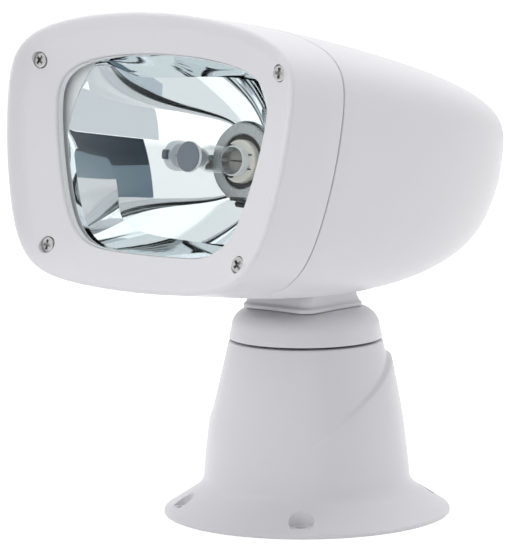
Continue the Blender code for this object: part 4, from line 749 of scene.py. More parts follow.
def front_edge(radius: float, height: float, corner: float, steps: int) -> list[Pair]:
    """The rounded edge of a turned piece, from its front face to its side."""
    return bend_points((radius - corner, height), (radius, height), (radius, height + corner),
                       steps)


def capped(rows: list[np.ndarray]) -> list[np.ndarray]:
    """Rows with a middle point added at each end."""
    return [rows[0].mean(0, keepdims=True)] + rows + [rows[-1].mean(0, keepdims=True)]


def rounded_rectangle(left: float, right: float, front: float, rear: float, corner: float,
                      steps: int = 10) -> list[Pair]:
    """Draws a rectangle of (x, y) points with round corners.

    Args:
        left: its least x.
        right: its greatest x.
        front: its least y.
        rear: its greatest y.
        corner: the corners' radius.
        steps: the parts of each corner.

    Returns:
        The outline.
    """
    outline = []
    centres = [(right - corner, rear - corner), (left + corner, rear - corner),
               (left + corner, front + corner), (right - corner, front + corner)]
    for quarter, (x, y) in enumerate(centres):
        for k in range(steps + 1):
            angle = QUARTER * (quarter + k / steps)
            outline.append((x + corner * math.cos(angle), y + corner * math.sin(angle)))
    return outline


@dataclass(frozen=True)
class Outline:
    """A keystone with a crowned top, arched sides that lean in downwards, and full corners."""
    middle: float
    half_height: float
    half_width: float
    lean: float
    swell: float
    crown_top: float
    crown_bottom: float
    power: float

    def level(self, x: np.ndarray, z: np.ndarray) -> np.ndarray:
        """Tells which side of the outline points are on.

        Args:
            x: their places across.
            z: their heights.

        Returns:
            1 on the outline and less than 1 inside it.
        """
        rise = (z - self.middle) / self.half_height
        width = self.half_width + self.lean * rise - self.swell * rise ** 2
        crown = np.where(rise > 0, self.crown_top, self.crown_bottom)
        height = self.half_height - crown * (x / self.half_width) ** 2
        across = np.abs(x) / width
        upward = np.abs(z - self.middle) / height
        return (across ** self.power + upward ** self.power) ** (1 / self.power)

    def points(self, angles: np.ndarray) -> np.ndarray:
        """Finds points on the outline by halving.

        Args:
            angles: their directions from its middle.

        Returns:
            The (x, z) points.
        """
        near = np.zeros_like(angles)
        far = np.full_like(angles, 1.25 * math.hypot(self.half_width, self.half_height))
        for _ in range(40):
            reach = (near + far) / 2
            inside = self.level(reach * np.cos(angles), self.middle + reach * np.sin(angles)) < 1
            near = np.where(inside, reach, near)
            far = np.where(inside, far, reach)
        return np.stack([near * np.cos(angles), self.middle + near * np.sin(angles)], axis=1)

    def directions(self, count: int, corner_weight: float = 0.030) -> np.ndarray:
        """Spaces directions by length along the outline, closer together round its corners.

        Args:
            count: how many directions.
            corner_weight: the length in metres that a radian of turning counts for.

        Returns:
            The angles about its middle.
        """
        angles = np.linspace(0, 2 * math.pi, 2881)
        steps = np.diff(self.points(angles), axis=0)
        headings = np.unwrap(np.arctan2(steps[:, 1], steps[:, 0]))
        turns = np.abs(np.diff(headings, append=headings[0] + 2 * math.pi))
        lengths = np.hypot(steps[:, 0], steps[:, 1])
        travel = np.concatenate([[0], np.cumsum(lengths + corner_weight * turns)])
        return np.interp(np.arange(count) / count * travel[-1], travel, angles)


def inset(points: np.ndarray, distance: float) -> np.ndarray:
    """Moves a closed outline inwards.

    Args:
        points: the outline, anticlockwise.
        distance: how far, or outwards where it is negative.

    Returns:
        The new outline.
    """
    tangents = np.roll(points, -1, axis=0) - np.roll(points, 1, axis=0)
    tangents /= np.hypot(tangents[:, 0], tangents[:, 1])[:, None]
    return points + distance * np.stack([-tangents[:, 1], tangents[:, 0]], axis=1)


def section(points: np.ndarray, u: float | np.ndarray) -> np.ndarray:
    """A section's (x, z) points at one depth of the head, or each at its own."""
    return np.stack([points[:, 0], np.full(len(points), u), points[:, 1]], axis=1)


@dataclass(frozen=True)
class HeadFrame:
    """The head's own frame and the outlines that its pieces share."""
    pivot_z: float = 0.1320
    pitch: float = math.radians(8.16)
    pivot_u: float = 0.1223
    pivot_drop: float = 0.0327
    wall: float = 0.0030
    bezel_depth: float = 0.0360
    dish_depth: float = 0.0102
    lip: float = 0.0020
    lens_lap: float = 0.0045
    lens_front: float = 0.0143
    reflector_u: float = 0.0176
    lamp_z: float = 0.0035
    rim: Outline = Outline(0.0034, 0.0642, 0.0872, 0.0090, 0.0103, 0.0122, 0.0081, 7.4)
    aperture: Outline = Outline(0.0029, 0.0464, 0.0623, 0.0103, 0.0058, 0.0072, 0.0022, 6.5)
    face_screws: tuple[Pair, ...] = ((-0.0748, 0.0433), (0.0748, 0.0433), (-0.0599, -0.0432),
                                     (0.0599, -0.0432))

    def place(self) -> Matrix:
        """The matrix from the head's own frame to the light's."""
        return (Matrix.Translation((0, 0, self.pivot_z)) @ Matrix.Rotation(-self.pitch, 4, "X")
                @ Matrix.Translation((0, -self.pivot_u, self.pivot_drop)))

    def outlines(self) -> tuple[np.ndarray, np.ndarray]:
        """The rim and the opening, both as (x, z) points in the same directions."""
        angles = self.rim.directions(HEAD_STATIONS)
        return self.rim.points(angles), self.aperture.points(angles)


HEAD = HeadFrame()


@dataclass
class Assembly:
    """A sub-assembly, which rides on one body and takes the finishes of its slots."""
    finishes: dict[Slot, bpy.types.Material]
    body: Body = Body.HEAD

    def place(self) -> Matrix:
        """The matrix from the frame that it is drawn in to the light's."""
        return HEAD.place() if self.body is Body.HEAD else Matrix.Identity(4)

    def fit(self, stock: Stock, name: str, slot: Slot, *replaces: str,
            finish: bpy.types.Material | None = None) -> None:
        """Makes a mesh a finished piece of the light.

        Args:
            stock: the mesh, as it was drawn.
            name: the piece's name.
            slot: the record's slot that its finish belongs to.
            replaces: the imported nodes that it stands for.
            finish: its material, where that isn't the slot's own.
        """
        mesh = stock.placed(self.place()).mesh
        mesh.name = name
        mesh.materials.clear()
        mesh.materials.append(finish or self.finishes[slot])
        mesh.shade_smooth()
        mesh.set_sharp_from_angle(angle=SMOOTH_ANGLE)
        item = put(name, mesh)
        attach(item, self.body.value)
        if replaces:
            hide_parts(*replaces)
        LOG.info("%s rides on %s, %d faces", name, self.body.value, len(mesh.polygons))


# Head casing

@dataclass
class Bezel(Assembly):
    """The dished front frame: a rolled rim, a sloping border, a shallow dish and a round lip."""
    bead: float = 0.0015
    border_width: float = 0.0070
    border_depth: float = 0.0050
    border_fillet: float = 0.0022
    bead_end: float = 0.95
    dish_start: float = 0.16
    dish_end: float = 0.93
    lip_round: float = 0.0011
    rear_edge: float = 0.0005
    rear_shelf: float = 0.0010
    side_depths: tuple[float, ...] = (0.024, 0.012, 0.005)
    pocket_radius: float = 0.0040
    pocket_floor: float = 0.0084
    post_radius: float = 0.0052
    post_skin: float = 0.0004
    post_end: float = 0.0351
    trim_inset: float = 0.00012
    trim_sheet: float = 0.00035
    trim_gap: float = 0.0002
    mouth: float = 0.06411
    shield_front: float = 0.0031
    shield_gap: float = 0.00005
    foil_gap: float = 0.0001
    foil_edge: float = 0.0004
    foil_front: float = 0.00025
    foil_back: float = 0.00005

    def rows(self) -> list[np.ndarray]:
        """Draws the frame's skin, from its rear edge round the front to the inside.

        Returns:
            Its rows in order.
        """
        rim, opening = HEAD.outlines()
        rear = HEAD.bezel_depth - self.rear_edge
        rows = bend(section(inset(rim, self.rear_edge), rear), section(rim, rear),
                    section(rim, rear - self.rear_edge), 3)
        rows += [section(rim, u) for u in self.side_depths]
        slope = math.atan2(self.border_depth, self.border_width - self.bead)
        turns = [QUARTER * (k / 6) for k in range(6)]
        turns += [QUARTER + slope * self.bead_end * k / 3 for k in range(4)]
        bead = [(self.bead * (1 - math.cos(turn)), self.bead * (1 - math.sin(turn)))
                for turn in turns]
        rows += [section(inset(rim, inward), u) for inward, u in bead]
        inward, u = bead[-1]
        border = section(inset(rim, self.border_width), self.border_depth)
        edge = section(opening, HEAD.dish_depth)
        run = self.border_width - inward
        share = 1 - self.border_fillet / run
        before = section(inset(rim, inward + run * share), u + (self.border_depth - u) * share)
        after = border + (edge - border) * self.dish_start
        near = border + (edge - border) * self.dish_end
        rows += bend(before, border, after, 6)
        rows += [after + (near - after) * s for s in (0.33, 0.66)]
        rows += bend(near, edge, section(opening, HEAD.dish_depth + self.lip_round), 6)
        back = HEAD.dish_depth + HEAD.lip
        rows += [section(opening, back),
                 section(inset(opening, -HEAD.lens_lap - self.rear_shelf), back)]
        inner = inset(rim, HEAD.wall)
        return rows + [section(inner, self.border_depth + HEAD.wall), section(inner, rear)]

    def build(self) -> None:
        """Makes the bezel with its four screw pockets and the posts behind them."""
        pocket = Stock.rod(self.pocket_radius, -0.01, self.pocket_floor, sweep_u=True)
        post = Stock.rod(self.post_radius, self.pocket_floor + self.post_skin, self.post_end, 24,
                         sweep_u=True)
        places = [Matrix.Translation((x, 0, z)) for x, z in HEAD.face_screws]
        frame = Stock.skinned(self.rows(), cyclic=True).cut(pocket.copies(places))
        self.fit(Stock.merged([frame, post.copies(places)]), "bezel_frame", Slot.WHITE, "bezel")
        self.build_trim()
        self.build_foil()

    def build_trim(self) -> None:
        """Makes the thin pale sleeve inside the lip and the shield over the reflector's flange."""
        opening = HEAD.outlines()[1]
        front, rear = HEAD.dish_depth + self.lip_round, HEAD.lens_front - self.trim_gap
        outer = inset(opening, self.trim_inset)
        inner = inset(opening, self.trim_inset + self.trim_sheet)
        sleeve = bend(section(outer, front + self.trim_sheet), section(outer, front),
                      section(inner, front), 2)
        sleeve += [section(inner, rear), section(outer, rear)]
        spokes = opening - [0, HEAD.lamp_z]
        lengths = np.hypot(spokes[:, 0], spokes[:, 1])
        bowl = [0, HEAD.lamp_z] + spokes * np.minimum(1, self.mouth / lengths)[:, None]
        edge = inset(opening, -HEAD.lens_lap)
        low, high = HEAD.lens_front + self.shield_front, HEAD.reflector_u - self.shield_gap
        shield = [section(edge, low), section(edge, high), section(bowl, high), section(bowl, low)]
        both = [Stock.skinned(rows, cyclic=True) for rows in (sleeve, shield)]
        self.fit(Stock.merged(both), "lens_trim", Slot.WHITE, finish=TRIM_LACQUER.material())

    def build_foil(self) -> None:
        """Makes the bright ring between the gasket and the glass."""
        opening = HEAD.outlines()[1]
        near, far = inset(opening, -self.trim_gap), inset(opening, -HEAD.lens_lap - self.foil_gap)
        outside = inset(opening, -HEAD.lens_lap - self.foil_edge)
        front, back = HEAD.lens_front - self.foil_front, HEAD.lens_front - self.foil_back
        rear = HEAD.lens_front + self.shield_front
        self.fit(Stock.skinned([
            section(near, front), section(outside, front), section(outside, rear),
            section(far, rear), section(far, back), section(near, back)], cyclic=True),
            "lens_foil", Slot.MIRROR)


@dataclass
class RearHousing(Assembly):
    """The long swept rear casing, closed to a blunt nose and slotted under for the neck."""
    front: float = 0.0363
    length: float = 0.1827
    nose_z: float = 0.0044
    front_edge: float = 0.0005
    tapers: tuple[Pair, ...] = ((3.25, 2.54), (1.28, 3.98), (2.25, 1.63))
    crowding: float = 0.8
    outer_rows: int = 64
    inner_rows: int = 24
    slot_half_width: float = 0.0225
    slot_front: float = 0.0893
    slot_rear: float = 0.1533
    slot_corner: float = 0.0070
    slot_floor: float = -0.08
    slot_ceiling: float = -0.0412
    seal_inset: float = 0.0010
    seal_half: float = 0.0003

    def cross_section(self, share: float, points: np.ndarray, shorter: float = 0.0) -> np.ndarray:
        """Draws one section between the seam and the nose.

        Args:
            share: its share of the length.
            points: the outline at the seam.
            shorter: how much earlier the nose ends.

        Returns:
            The section's points.
        """
        across, above, below = ((1 - share ** power) ** (1 / root) for power, root in self.tapers)
        rise = points[:, 1] - self.nose_z
        heights = self.nose_z + rise * np.where(rise > 0, above, below)
        flat = np.stack([points[:, 0] * across, heights], axis=1)
        return section(flat, self.front + share * (self.length - shorter))

    def shares(self, count: int) -> list[float]:
        """Shares of the length, closer together towards the nose."""
        return [math.sin(QUARTER * k / count) ** self.crowding for k in range(count)]

    def build(self) -> None:
        """Makes the casing and the seal in the seam ahead of it."""
        rim = HEAD.outlines()[0]
        inner = inset(rim, HEAD.wall)
        edge = self.front_edge / self.length
        tip = self.front + self.length
        rows = [np.array([[0, tip - HEAD.wall, self.nose_z]])]
        rows += [self.cross_section(s, inner, HEAD.wall)
                 for s in reversed(self.shares(self.inner_rows))]
        rows += bend(self.cross_section(0, inset(rim, self.front_edge)),
                     self.cross_section(0, rim), self.cross_section(edge, rim), 3)
        rows += [self.cross_section(s, rim) for s in self.shares(self.outer_rows) if s > 2 * edge]
        rows.append(np.array([[0, tip, self.nose_z]]))
        slot = rounded_rectangle(-self.slot_half_width, self.slot_half_width, self.slot_front,
                                 self.slot_rear, self.slot_corner)
        shell = Stock.skinned(rows).cut(Stock.prism(slot, self.slot_floor, self.slot_ceiling))
        self.fit(shell, "rear_casing", Slot.WHITE, "rear_housing")
        outside = inset(rim, self.seal_inset)
        low, high = HEAD.bezel_depth - self.seal_half, HEAD.bezel_depth + self.seal_half
        seal = Stock.skinned([section(outside, low), section(outside, high),
                              section(inner, high), section(inner, low)], cyclic=True)
        self.fit(seal, "seam_seal", Slot.RUBBER, "housing_seal")


@dataclass
class FaceScrews(Assembly):
    """The four stainless bezel screws with cross recesses, set by a tree of nodes."""
    head_radius: float = 0.0037
    head_height: float = 0.0024
    head_edge: float = 0.0006
    front: float = 0.0058
    shank_radius: float = 0.0016
    reach: float = 0.0480
    point: float = 0.002
    recess_reach: float = 0.0025
    recess_width: float = 0.0014
    recess_depth: float = 0.0021
    recess_front: float = -0.001
    recess_taper: Pair = (1.15, 0.55)
    turns: tuple[float, ...] = (0.70, 0.05, 0.10, 0.90)

    def screw(self) -> Stock:
        """Makes one screw along u.

        Returns:
            The screw, its head's front in the plane u = 0.
        """
        radius, height, end = self.head_radius, self.head_height, self.reach - self.front
        profile = [(0, 0.0)] + front_edge(radius, 0.0, self.head_edge, 4)
        profile += [(radius, height), (self.shank_radius, height),
                    (self.shank_radius, end - self.point), (0, end)]
        reach, half = self.recess_reach, self.recess_width / 2
        rows = []
        for depth, share in zip((self.recess_front, self.recess_depth), self.recess_taper):
            corners = [(-reach * share, -half), (reach * share, -half),
                       (reach * share, half), (-reach * share, half)]
            rows.append(np.array([(x, depth, z) for x, z in corners]))
        arms = [Stock.skinned(capped(rows)).placed(Matrix.Rotation(turn, 4, "Y"))
                for turn in (0.0, QUARTER)]
        return Stock.turned(profile, 40, sweep_u=True).cut(*arms)

    def recipe(self) -> Recipe:
        """Draws the tree that sets a screw on each point, turned by the point's own angle.

        Returns:
            The tree.
        """
        recipe = Recipe("face_screws")
        screw = recipe.size("Screw", "Object")
        scale = recipe.size("Scale")
        shape = recipe.node("GeometryNodeObjectInfo", None, {"Object": screw}, "Geometry")
        facing = recipe.node("ShaderNodeCombineXYZ", None,
                             {"Y": recipe.attribute("turn", "FLOAT")})
        size = recipe.node("ShaderNodeCombineXYZ", None, {"X": scale, "Y": scale, "Z": scale})
        recipe.close(recipe.node("GeometryNodeInstanceOnPoints", None, {
            "Points": recipe.geometry, "Instance": shape, "Rotation": facing, "Scale": size}))
        return recipe

    def build(self) -> None:
        """Makes the four screws as one piece of the head."""
        mesh = plain_mesh("screw_points", [(x, self.front, z) for x, z in HEAD.face_screws])
        mesh.attributes.new("turn", "FLOAT", "POINT").data.foreach_set("value", self.turns)
        pattern, finish = self.screw().stand_in(), SCREW_STEEL.material()
        made = self.recipe().cook(Stock(mesh), {
            "Screw": pattern, "Scale": 1.0, "Finish": finish})
        discard(pattern)
        self.fit(made, "face_screws", Slot.STEEL, *(f"bezel_screw_{k}" for k in (1, 2, 3, 4)),
                 finish=finish)


# Lamp

@dataclass
class Reflector(Assembly):
    """The mirrored paraboloid, cropped by straight walls that meet it in curved creases."""
    focal_length: float = 0.0173
    vertex_u: float = 0.0770
    wall: float = 0.0012
    lamp_hole: float = 0.0160
    crease: float = 0.0012
    least_depth: float = 0.0001
    rings: int = 44

    def recipe(self) -> Recipe:
        """Draws the tree that sinks flat rings to the paraboloid.

        Returns:
            The tree.
        """
        recipe = Recipe("paraboloid")
        focal, vertex = recipe.size("Focal length"), recipe.size("Vertex depth")
        height = recipe.size("Lamp height")
        place = recipe.node("GeometryNodeInputPosition")
        x, lift, z = (recipe.node("ShaderNodeSeparateXYZ", None, [place], axis) for axis in "XYZ")
        square = x * x + (z - height) * (z - height)
        depth = vertex + lift - square / (focal * 4.0)
        sunk = recipe.node("ShaderNodeCombineXYZ", None, {"X": x, "Y": depth, "Z": z})
        recipe.close(recipe.node("GeometryNodeSetPosition", None, {
            "Geometry": recipe.geometry, "Selection": recipe.attribute("bowl", "BOOLEAN"),
            "Position": sunk}))
        return recipe

    def depths(self, radii: np.ndarray) -> np.ndarray:
        """The paraboloid's depth at these radii, no nearer than its flange."""
        return np.maximum(self.vertex_u - radii ** 2 / (4 * self.focal_length),
                          HEAD.reflector_u + self.least_depth)

    def build(self) -> None:
        """Makes the reflector with its walls, flange and back face."""
        opening = HEAD.outlines()[1]
        spokes = opening - [0, HEAD.lamp_z]
        lengths = np.hypot(spokes[:, 0], spokes[:, 1])
        spokes /= lengths[:, None]
        flange, back = HEAD.reflector_u, HEAD.reflector_u + self.wall
        crop = np.minimum(lengths, math.sqrt(4 * self.focal_length * (self.vertex_u - flange)))
        inner = crop - self.crease

        def ring(radii: np.ndarray, u: float | np.ndarray) -> np.ndarray:
            """The section at these distances from the lamp's axis."""
            return section([0, HEAD.lamp_z] + spokes * radii[:, None], u)

        rows = [ring(crop, flange)]
        rows += bend(ring(crop, np.maximum(self.depths(crop) - self.crease, flange)),
                     ring(crop, self.depths(crop)), ring(inner, self.depths(inner)), 4)
        flat_rows = len(rows)
        rows += [ring(inner + (self.lamp_hole - inner) * k / self.rings, 0)
                 for k in range(1, self.rings + 1)]
        rows += [ring(self.lamp_hole + (crop - self.lamp_hole) * share, self.wall)
                 for share in (0.0, 0.25, 0.5, 0.75)]
        bowl_rows = len(rows)
        edge = inset(opening, -HEAD.lens_lap)
        rows += [ring(crop + self.wall, back), section(edge, back), section(edge, flange)]
        start = Stock.skinned(rows, cyclic=True)
        mask = np.zeros(len(rows) * HEAD_STATIONS, bool)
        mask[flat_rows * HEAD_STATIONS:bowl_rows * HEAD_STATIONS] = True
        start.mesh.attributes.new("bowl", "BOOLEAN", "POINT").data.foreach_set("value", mask)
        made = self.recipe().cook(start, {
            "Focal length": self.focal_length, "Vertex depth": self.vertex_u,
            "Lamp height": HEAD.lamp_z, "Finish": self.finishes[Slot.MIRROR]})
        self.fit(made.outward(), "reflector_bowl", Slot.MIRROR, "reflector")


@dataclass
class Lamp(Assembly):
    """The capsule lamp, its retaining ring and ceramic base, and the cap ahead of it."""
    ring_u: float = 0.0705
    ring_radius: float = 0.0184
    ring_thickness: float = 0.0013
    ring_bore: float = 0.0127
    ring_chamfer: float = 0.0006
    ring_shoulder: Pair = (0.0010, 0.0008)
    sleeve_radius: float = 0.0154
    sleeve_depth: float = 0.0100
    base_radius: float = 0.0103
    base_edge: float = 0.0008
    base_rise: float = 0.0020
    base_step: float = 0.0062
    base_gap: float = 0.0003
    bulb_radius: float = 0.0065
    bulb_tip: float = 0.0418
    glass: float = 0.0009
    focus_u: float = 0.0597
    coil_turns: float = 9.0
    coil_radius: float = 0.0008
    coil_half: float = 0.0017
    wire_radius: float = 0.00013
    post_gap: float = 0.0026
    post_radius: float = 0.0004
    arm_radius: float = 0.00022
    cap_radius: float = 0.0070
    cap_u: float = 0.0326
    cap_depth: float = 0.0014
    cap_wall: float = 0.0005
    stem_radius: float = 0.0009
    lug_u: float = 0.0006
    liner: float = 0.0004
    fit_gap: float = 0.0001
    pins: tuple[Pair, ...] = ((-0.0056, 0.0070), (-0.0031, 0.0066), (-0.0056, -0.0071),
                              (-0.0031, -0.0073))
    pin_radius: float = 0.0009
    pin_tip: float = 0.0006
    pin_length: float = 0.0022
    lead_radius: float = 0.00035
    lead_length: float = 0.0026
    lead_x: float = 0.0066
    lead_z: float = 0.0034
    lead_rise: float = 0.0006
    lead_angle: float = math.radians(-62)
    clip_rise: float = 0.0016
    clip_height: float = 0.0014
    clip_inset: float = 0.0004
    # front and back depths of a black ring in the gap round the boss: painted shade, where the
    # gap's shadow falls
    groove_shade_ring: Pair = (0.0016, 0.0038)
    band_length: float = 0.0046
    band_wall: float = 0.0007
    band_edge: float = 0.0004

    def place(self) -> Matrix:
        """The lamp is drawn about its own axis, which lies along u."""
        return super().place() @ Matrix.Translation((0, 0, HEAD.lamp_z))

    @property
    def face_u(self) -> float:
        """The depth of the ceramic's face."""
        return self.ring_u - self.base_rise

    def build_ring(self) -> None:
        """Makes the satin ring and its sleeve."""
        u, radius, bore = self.ring_u, self.ring_radius, self.ring_bore
        back, end = u + self.ring_thickness, u + self.sleeve_depth
        across, along = self.ring_shoulder
        profile = [(bore, u + self.ring_chamfer), (bore + self.ring_chamfer, u)]
        profile += bend_points((radius - across, u), (radius, u), (radius, u + along), 5)
        profile += [(radius, back), (self.sleeve_radius, back), (self.sleeve_radius, end),
                    (bore, end)]
        self.fit(Stock.turned(profile, 96, sweep_u=True), "lamp_bezel_ring", Slot.CHROME,
                 "lamp_ring", finish=RING_METAL.material())

    def build_base(self) -> None:
        """Makes the ceramic base, whose boss stands ahead of the ring."""
        front, rear = self.face_u, self.ring_u + self.sleeve_depth
        radius, step = self.base_radius, front + self.base_step
        wide = self.ring_bore - self.base_gap
        profile = [(0, front)] + front_edge(radius, front, self.base_edge, 4)
        profile += [(radius, step), (wide, step), (wide, rear), (0, rear)]
        self.fit(Stock.turned(profile, MIDDLE_ROUND, sweep_u=True), "lamp_ceramic_base",
                 Slot.CERAMIC, "lamp_base")

    def build_bulb(self) -> None:
        """Makes the glass capsule with its domed tip."""
        rear = self.face_u - self.base_gap
        outer, inner = self.bulb_radius, self.bulb_radius - self.glass
        crown = self.bulb_tip + outer
        quarter = [QUARTER * k / 12 for k in range(13)]
        inside, outside = ([(radius * math.sin(a), crown - radius * math.cos(a)) for a in quarter]
                           for radius in (inner, outer))
        profile = inside + [(inner, rear), (outer, rear)] + outside[::-1]
        profile[0], profile[-1] = (0, self.bulb_tip + self.glass), (0, self.bulb_tip)
        self.fit(Stock.turned(profile, sweep_u=True), "lamp_capsule", Slot.GLASS, "lamp_bulb",
                 finish=CAPSULE_GLASS.material())

    def filament_recipe(self) -> Recipe:
        """Draws the tree that winds the filament and sweeps its wire.

        Returns:
            The tree.
        """
        recipe = Recipe("filament")
        turns, radius = recipe.size("Turns"), recipe.size("Coil radius")
        length, wire = recipe.size("Coil length"), recipe.size("Wire radius")
        spiral = recipe.node("GeometryNodeCurveSpiral", None, {
            "Resolution": 14, "Rotations": turns, "Start Radius": radius, "End Radius": radius,
            "Height": length})
        round_wire = recipe.node("GeometryNodeCurvePrimitiveCircle", None,
                                 {"Resolution": 6, "Radius": wire})
        swept = recipe.node("GeometryNodeCurveToMesh", None,
                            {"Curve": spiral, "Profile Curve": round_wire, "Fill Caps": True})
        recipe.close(recipe.node("GeometryNodeJoinGeometry", None, [swept]))
        return recipe

    def build_filament(self) -> None:
        """Makes the wound filament between its two support wires."""
        gap, half, focus = self.post_gap, self.coil_half, self.focus_u
        coil = self.filament_recipe().cook(Stock(bpy.data.meshes.new("empty")), {
            "Turns": self.coil_turns, "Coil radius": self.coil_radius, "Coil length": 2 * half,
            "Wire radius": self.wire_radius, "Finish": self.finishes[Slot.TUNGSTEN]})
        coil.placed(Matrix.Translation((-half, focus, 0)) @ Matrix.Rotation(QUARTER, 4, "Y"))
        rear = self.face_u - self.base_gap
        posts = Stock.turned([(0, focus), (self.post_radius, focus + 0.0002),
                              (self.post_radius, rear), (0, rear)], 12, sweep_u=True)
        posts = posts.copies([Matrix.Translation((x, 0, 0)) for x in (-gap, gap)])
        arm = Stock.rod(self.arm_radius, 0, gap - half + 0.0004, 10, sweep_u=True)
        arms = arm.copies([Matrix.Translation((side * (gap + 0.0002), focus + 0.0004, 0))
                           @ Matrix.Rotation(side * QUARTER, 4, "Z") for side in (-1, 1)])
        self.fit(Stock.merged([coil, posts, arms]), "lamp_filament_coil", Slot.TUNGSTEN,
                 "lamp_filament")

    def build_cap(self) -> None:
        """Makes the glare cap with its stem and the lug on its side."""
        u, radius, wall = self.cap_u, self.cap_radius, self.cap_wall
        end, bore, floor = u + self.cap_depth, radius - wall, u + wall
        profile = [(0, floor)]
        profile += bend_points((radius - 2 * wall, floor), (bore, floor), (bore, u + 2 * wall), 4)
        profile += [(bore, end), (radius, end)]
        profile += bend_points((radius, floor), (radius, u), (bore, u), 5)
        cup = Stock.turned(profile + [(0, u)], MIDDLE_ROUND, sweep_u=True)
        stem = Stock.rod(self.stem_radius, u + wall / 2, self.bulb_tip - self.base_gap, 20,
                         sweep_u=True)
        lug = Stock.prism(rounded_rectangle(-0.0009, 0.0010, -0.0011, 0.0011, 0.0005, 4),
                          u + self.lug_u, end)
        lug.placed(Matrix.Translation((-radius, 0, 0)) @ UPRIGHT).outward()
        self.fit(cup.joined(stem, lug), "lamp_glare_cap", Slot.CAP, "glare_cap")

    def build_liner(self) -> None:
        """Makes the white cup round the cap's back and side."""
        end, floor = self.cap_u + self.cap_depth, self.cap_u + self.cap_wall
        edge, skin = self.cap_radius + self.fit_gap, self.cap_radius + 0.0003
        bore, near, far = self.stem_radius + self.fit_gap, end + self.fit_gap, end + self.liner
        liner = Stock.turned([(bore, near), (edge, near), (edge, floor), (skin, floor),
                              (skin, far), (bore, far)], MIDDLE_ROUND, sweep_u=True)
        self.fit(liner, "glare_cap_liner", Slot.WHITE, finish=TRIM_LACQUER.material())

    def build_contacts_and_groove_shade(self) -> None:
        """Makes the dark pins, leads and spring clip, and a black ring of painted shade in the gap
        round the ceramic's boss.
        """
        face, radius = self.face_u, self.pin_radius
        tip, foot = face - self.pin_length, face - self.fit_gap
        pin = Stock.turned([(0, tip), (self.pin_tip, tip), (radius, tip + 0.0004), (radius, foot),
                            (0, foot)], 16, sweep_u=True)
        pins = pin.copies([Matrix.Translation((x, 0, z)) for x, z in self.pins])
        lead = Stock.rod(self.lead_radius, 0, self.lead_length, 10, sweep_u=True)
        leads = lead.copies([
            Matrix.Translation((self.lead_x, face - self.lead_rise, z))
            @ Matrix.Rotation(self.lead_angle, 4, "Z") for z in (-self.lead_z, self.lead_z)])
        clip = Stock.prism(rounded_rectangle(-0.0036, 0.0036, -0.0009, 0.0009, 0.0005, 4), 0,
                           self.clip_height)
        clip.placed(Matrix.Translation((0, self.ring_u - self.clip_rise,
                                        -self.ring_radius + self.clip_inset)) @ UPRIGHT).outward()
        # A black ring deep in the gap between the boss and the ring's bore: painted shade, standing
        # in for the shadow inside the gap.
        inner, outer = self.base_radius + self.fit_gap, self.ring_bore - self.fit_gap
        front, back = (self.ring_u + depth for depth in self.groove_shade_ring)
        groove_shade_ring = Stock.turned([(inner, front), (outer, front), (outer, back), (inner, back)],
                              MIDDLE_ROUND, sweep_u=True)
        self.fit(Stock.merged([pins, leads, clip, groove_shade_ring]), "lamp_contacts", Slot.DARK)

    def build_band(self) -> None:
        """Makes the pale band round the capsule's pinched foot."""
        inner, outer = self.bulb_radius + self.fit_gap, self.bulb_radius + self.band_wall
        rear = self.face_u - self.fit_gap
        front = rear - self.band_length
        profile = [(inner, front)] + front_edge(outer, front, self.band_edge, 3)
        self.fit(Stock.turned(profile + [(outer, rear), (inner, rear)], sweep_u=True),
                 "lamp_pinch_band", Slot.CERAMIC, finish=TRIM_LACQUER.material())

    def build(self) -> None:
        """Makes every piece of the lamp."""
        for step in (self.build_contacts_and_groove_shade, self.build_band, self.build_ring, self.build_base,
                     self.build_bulb, self.build_filament, self.build_cap, self.build_liner):
            step()


# Pedestal, turret and neck

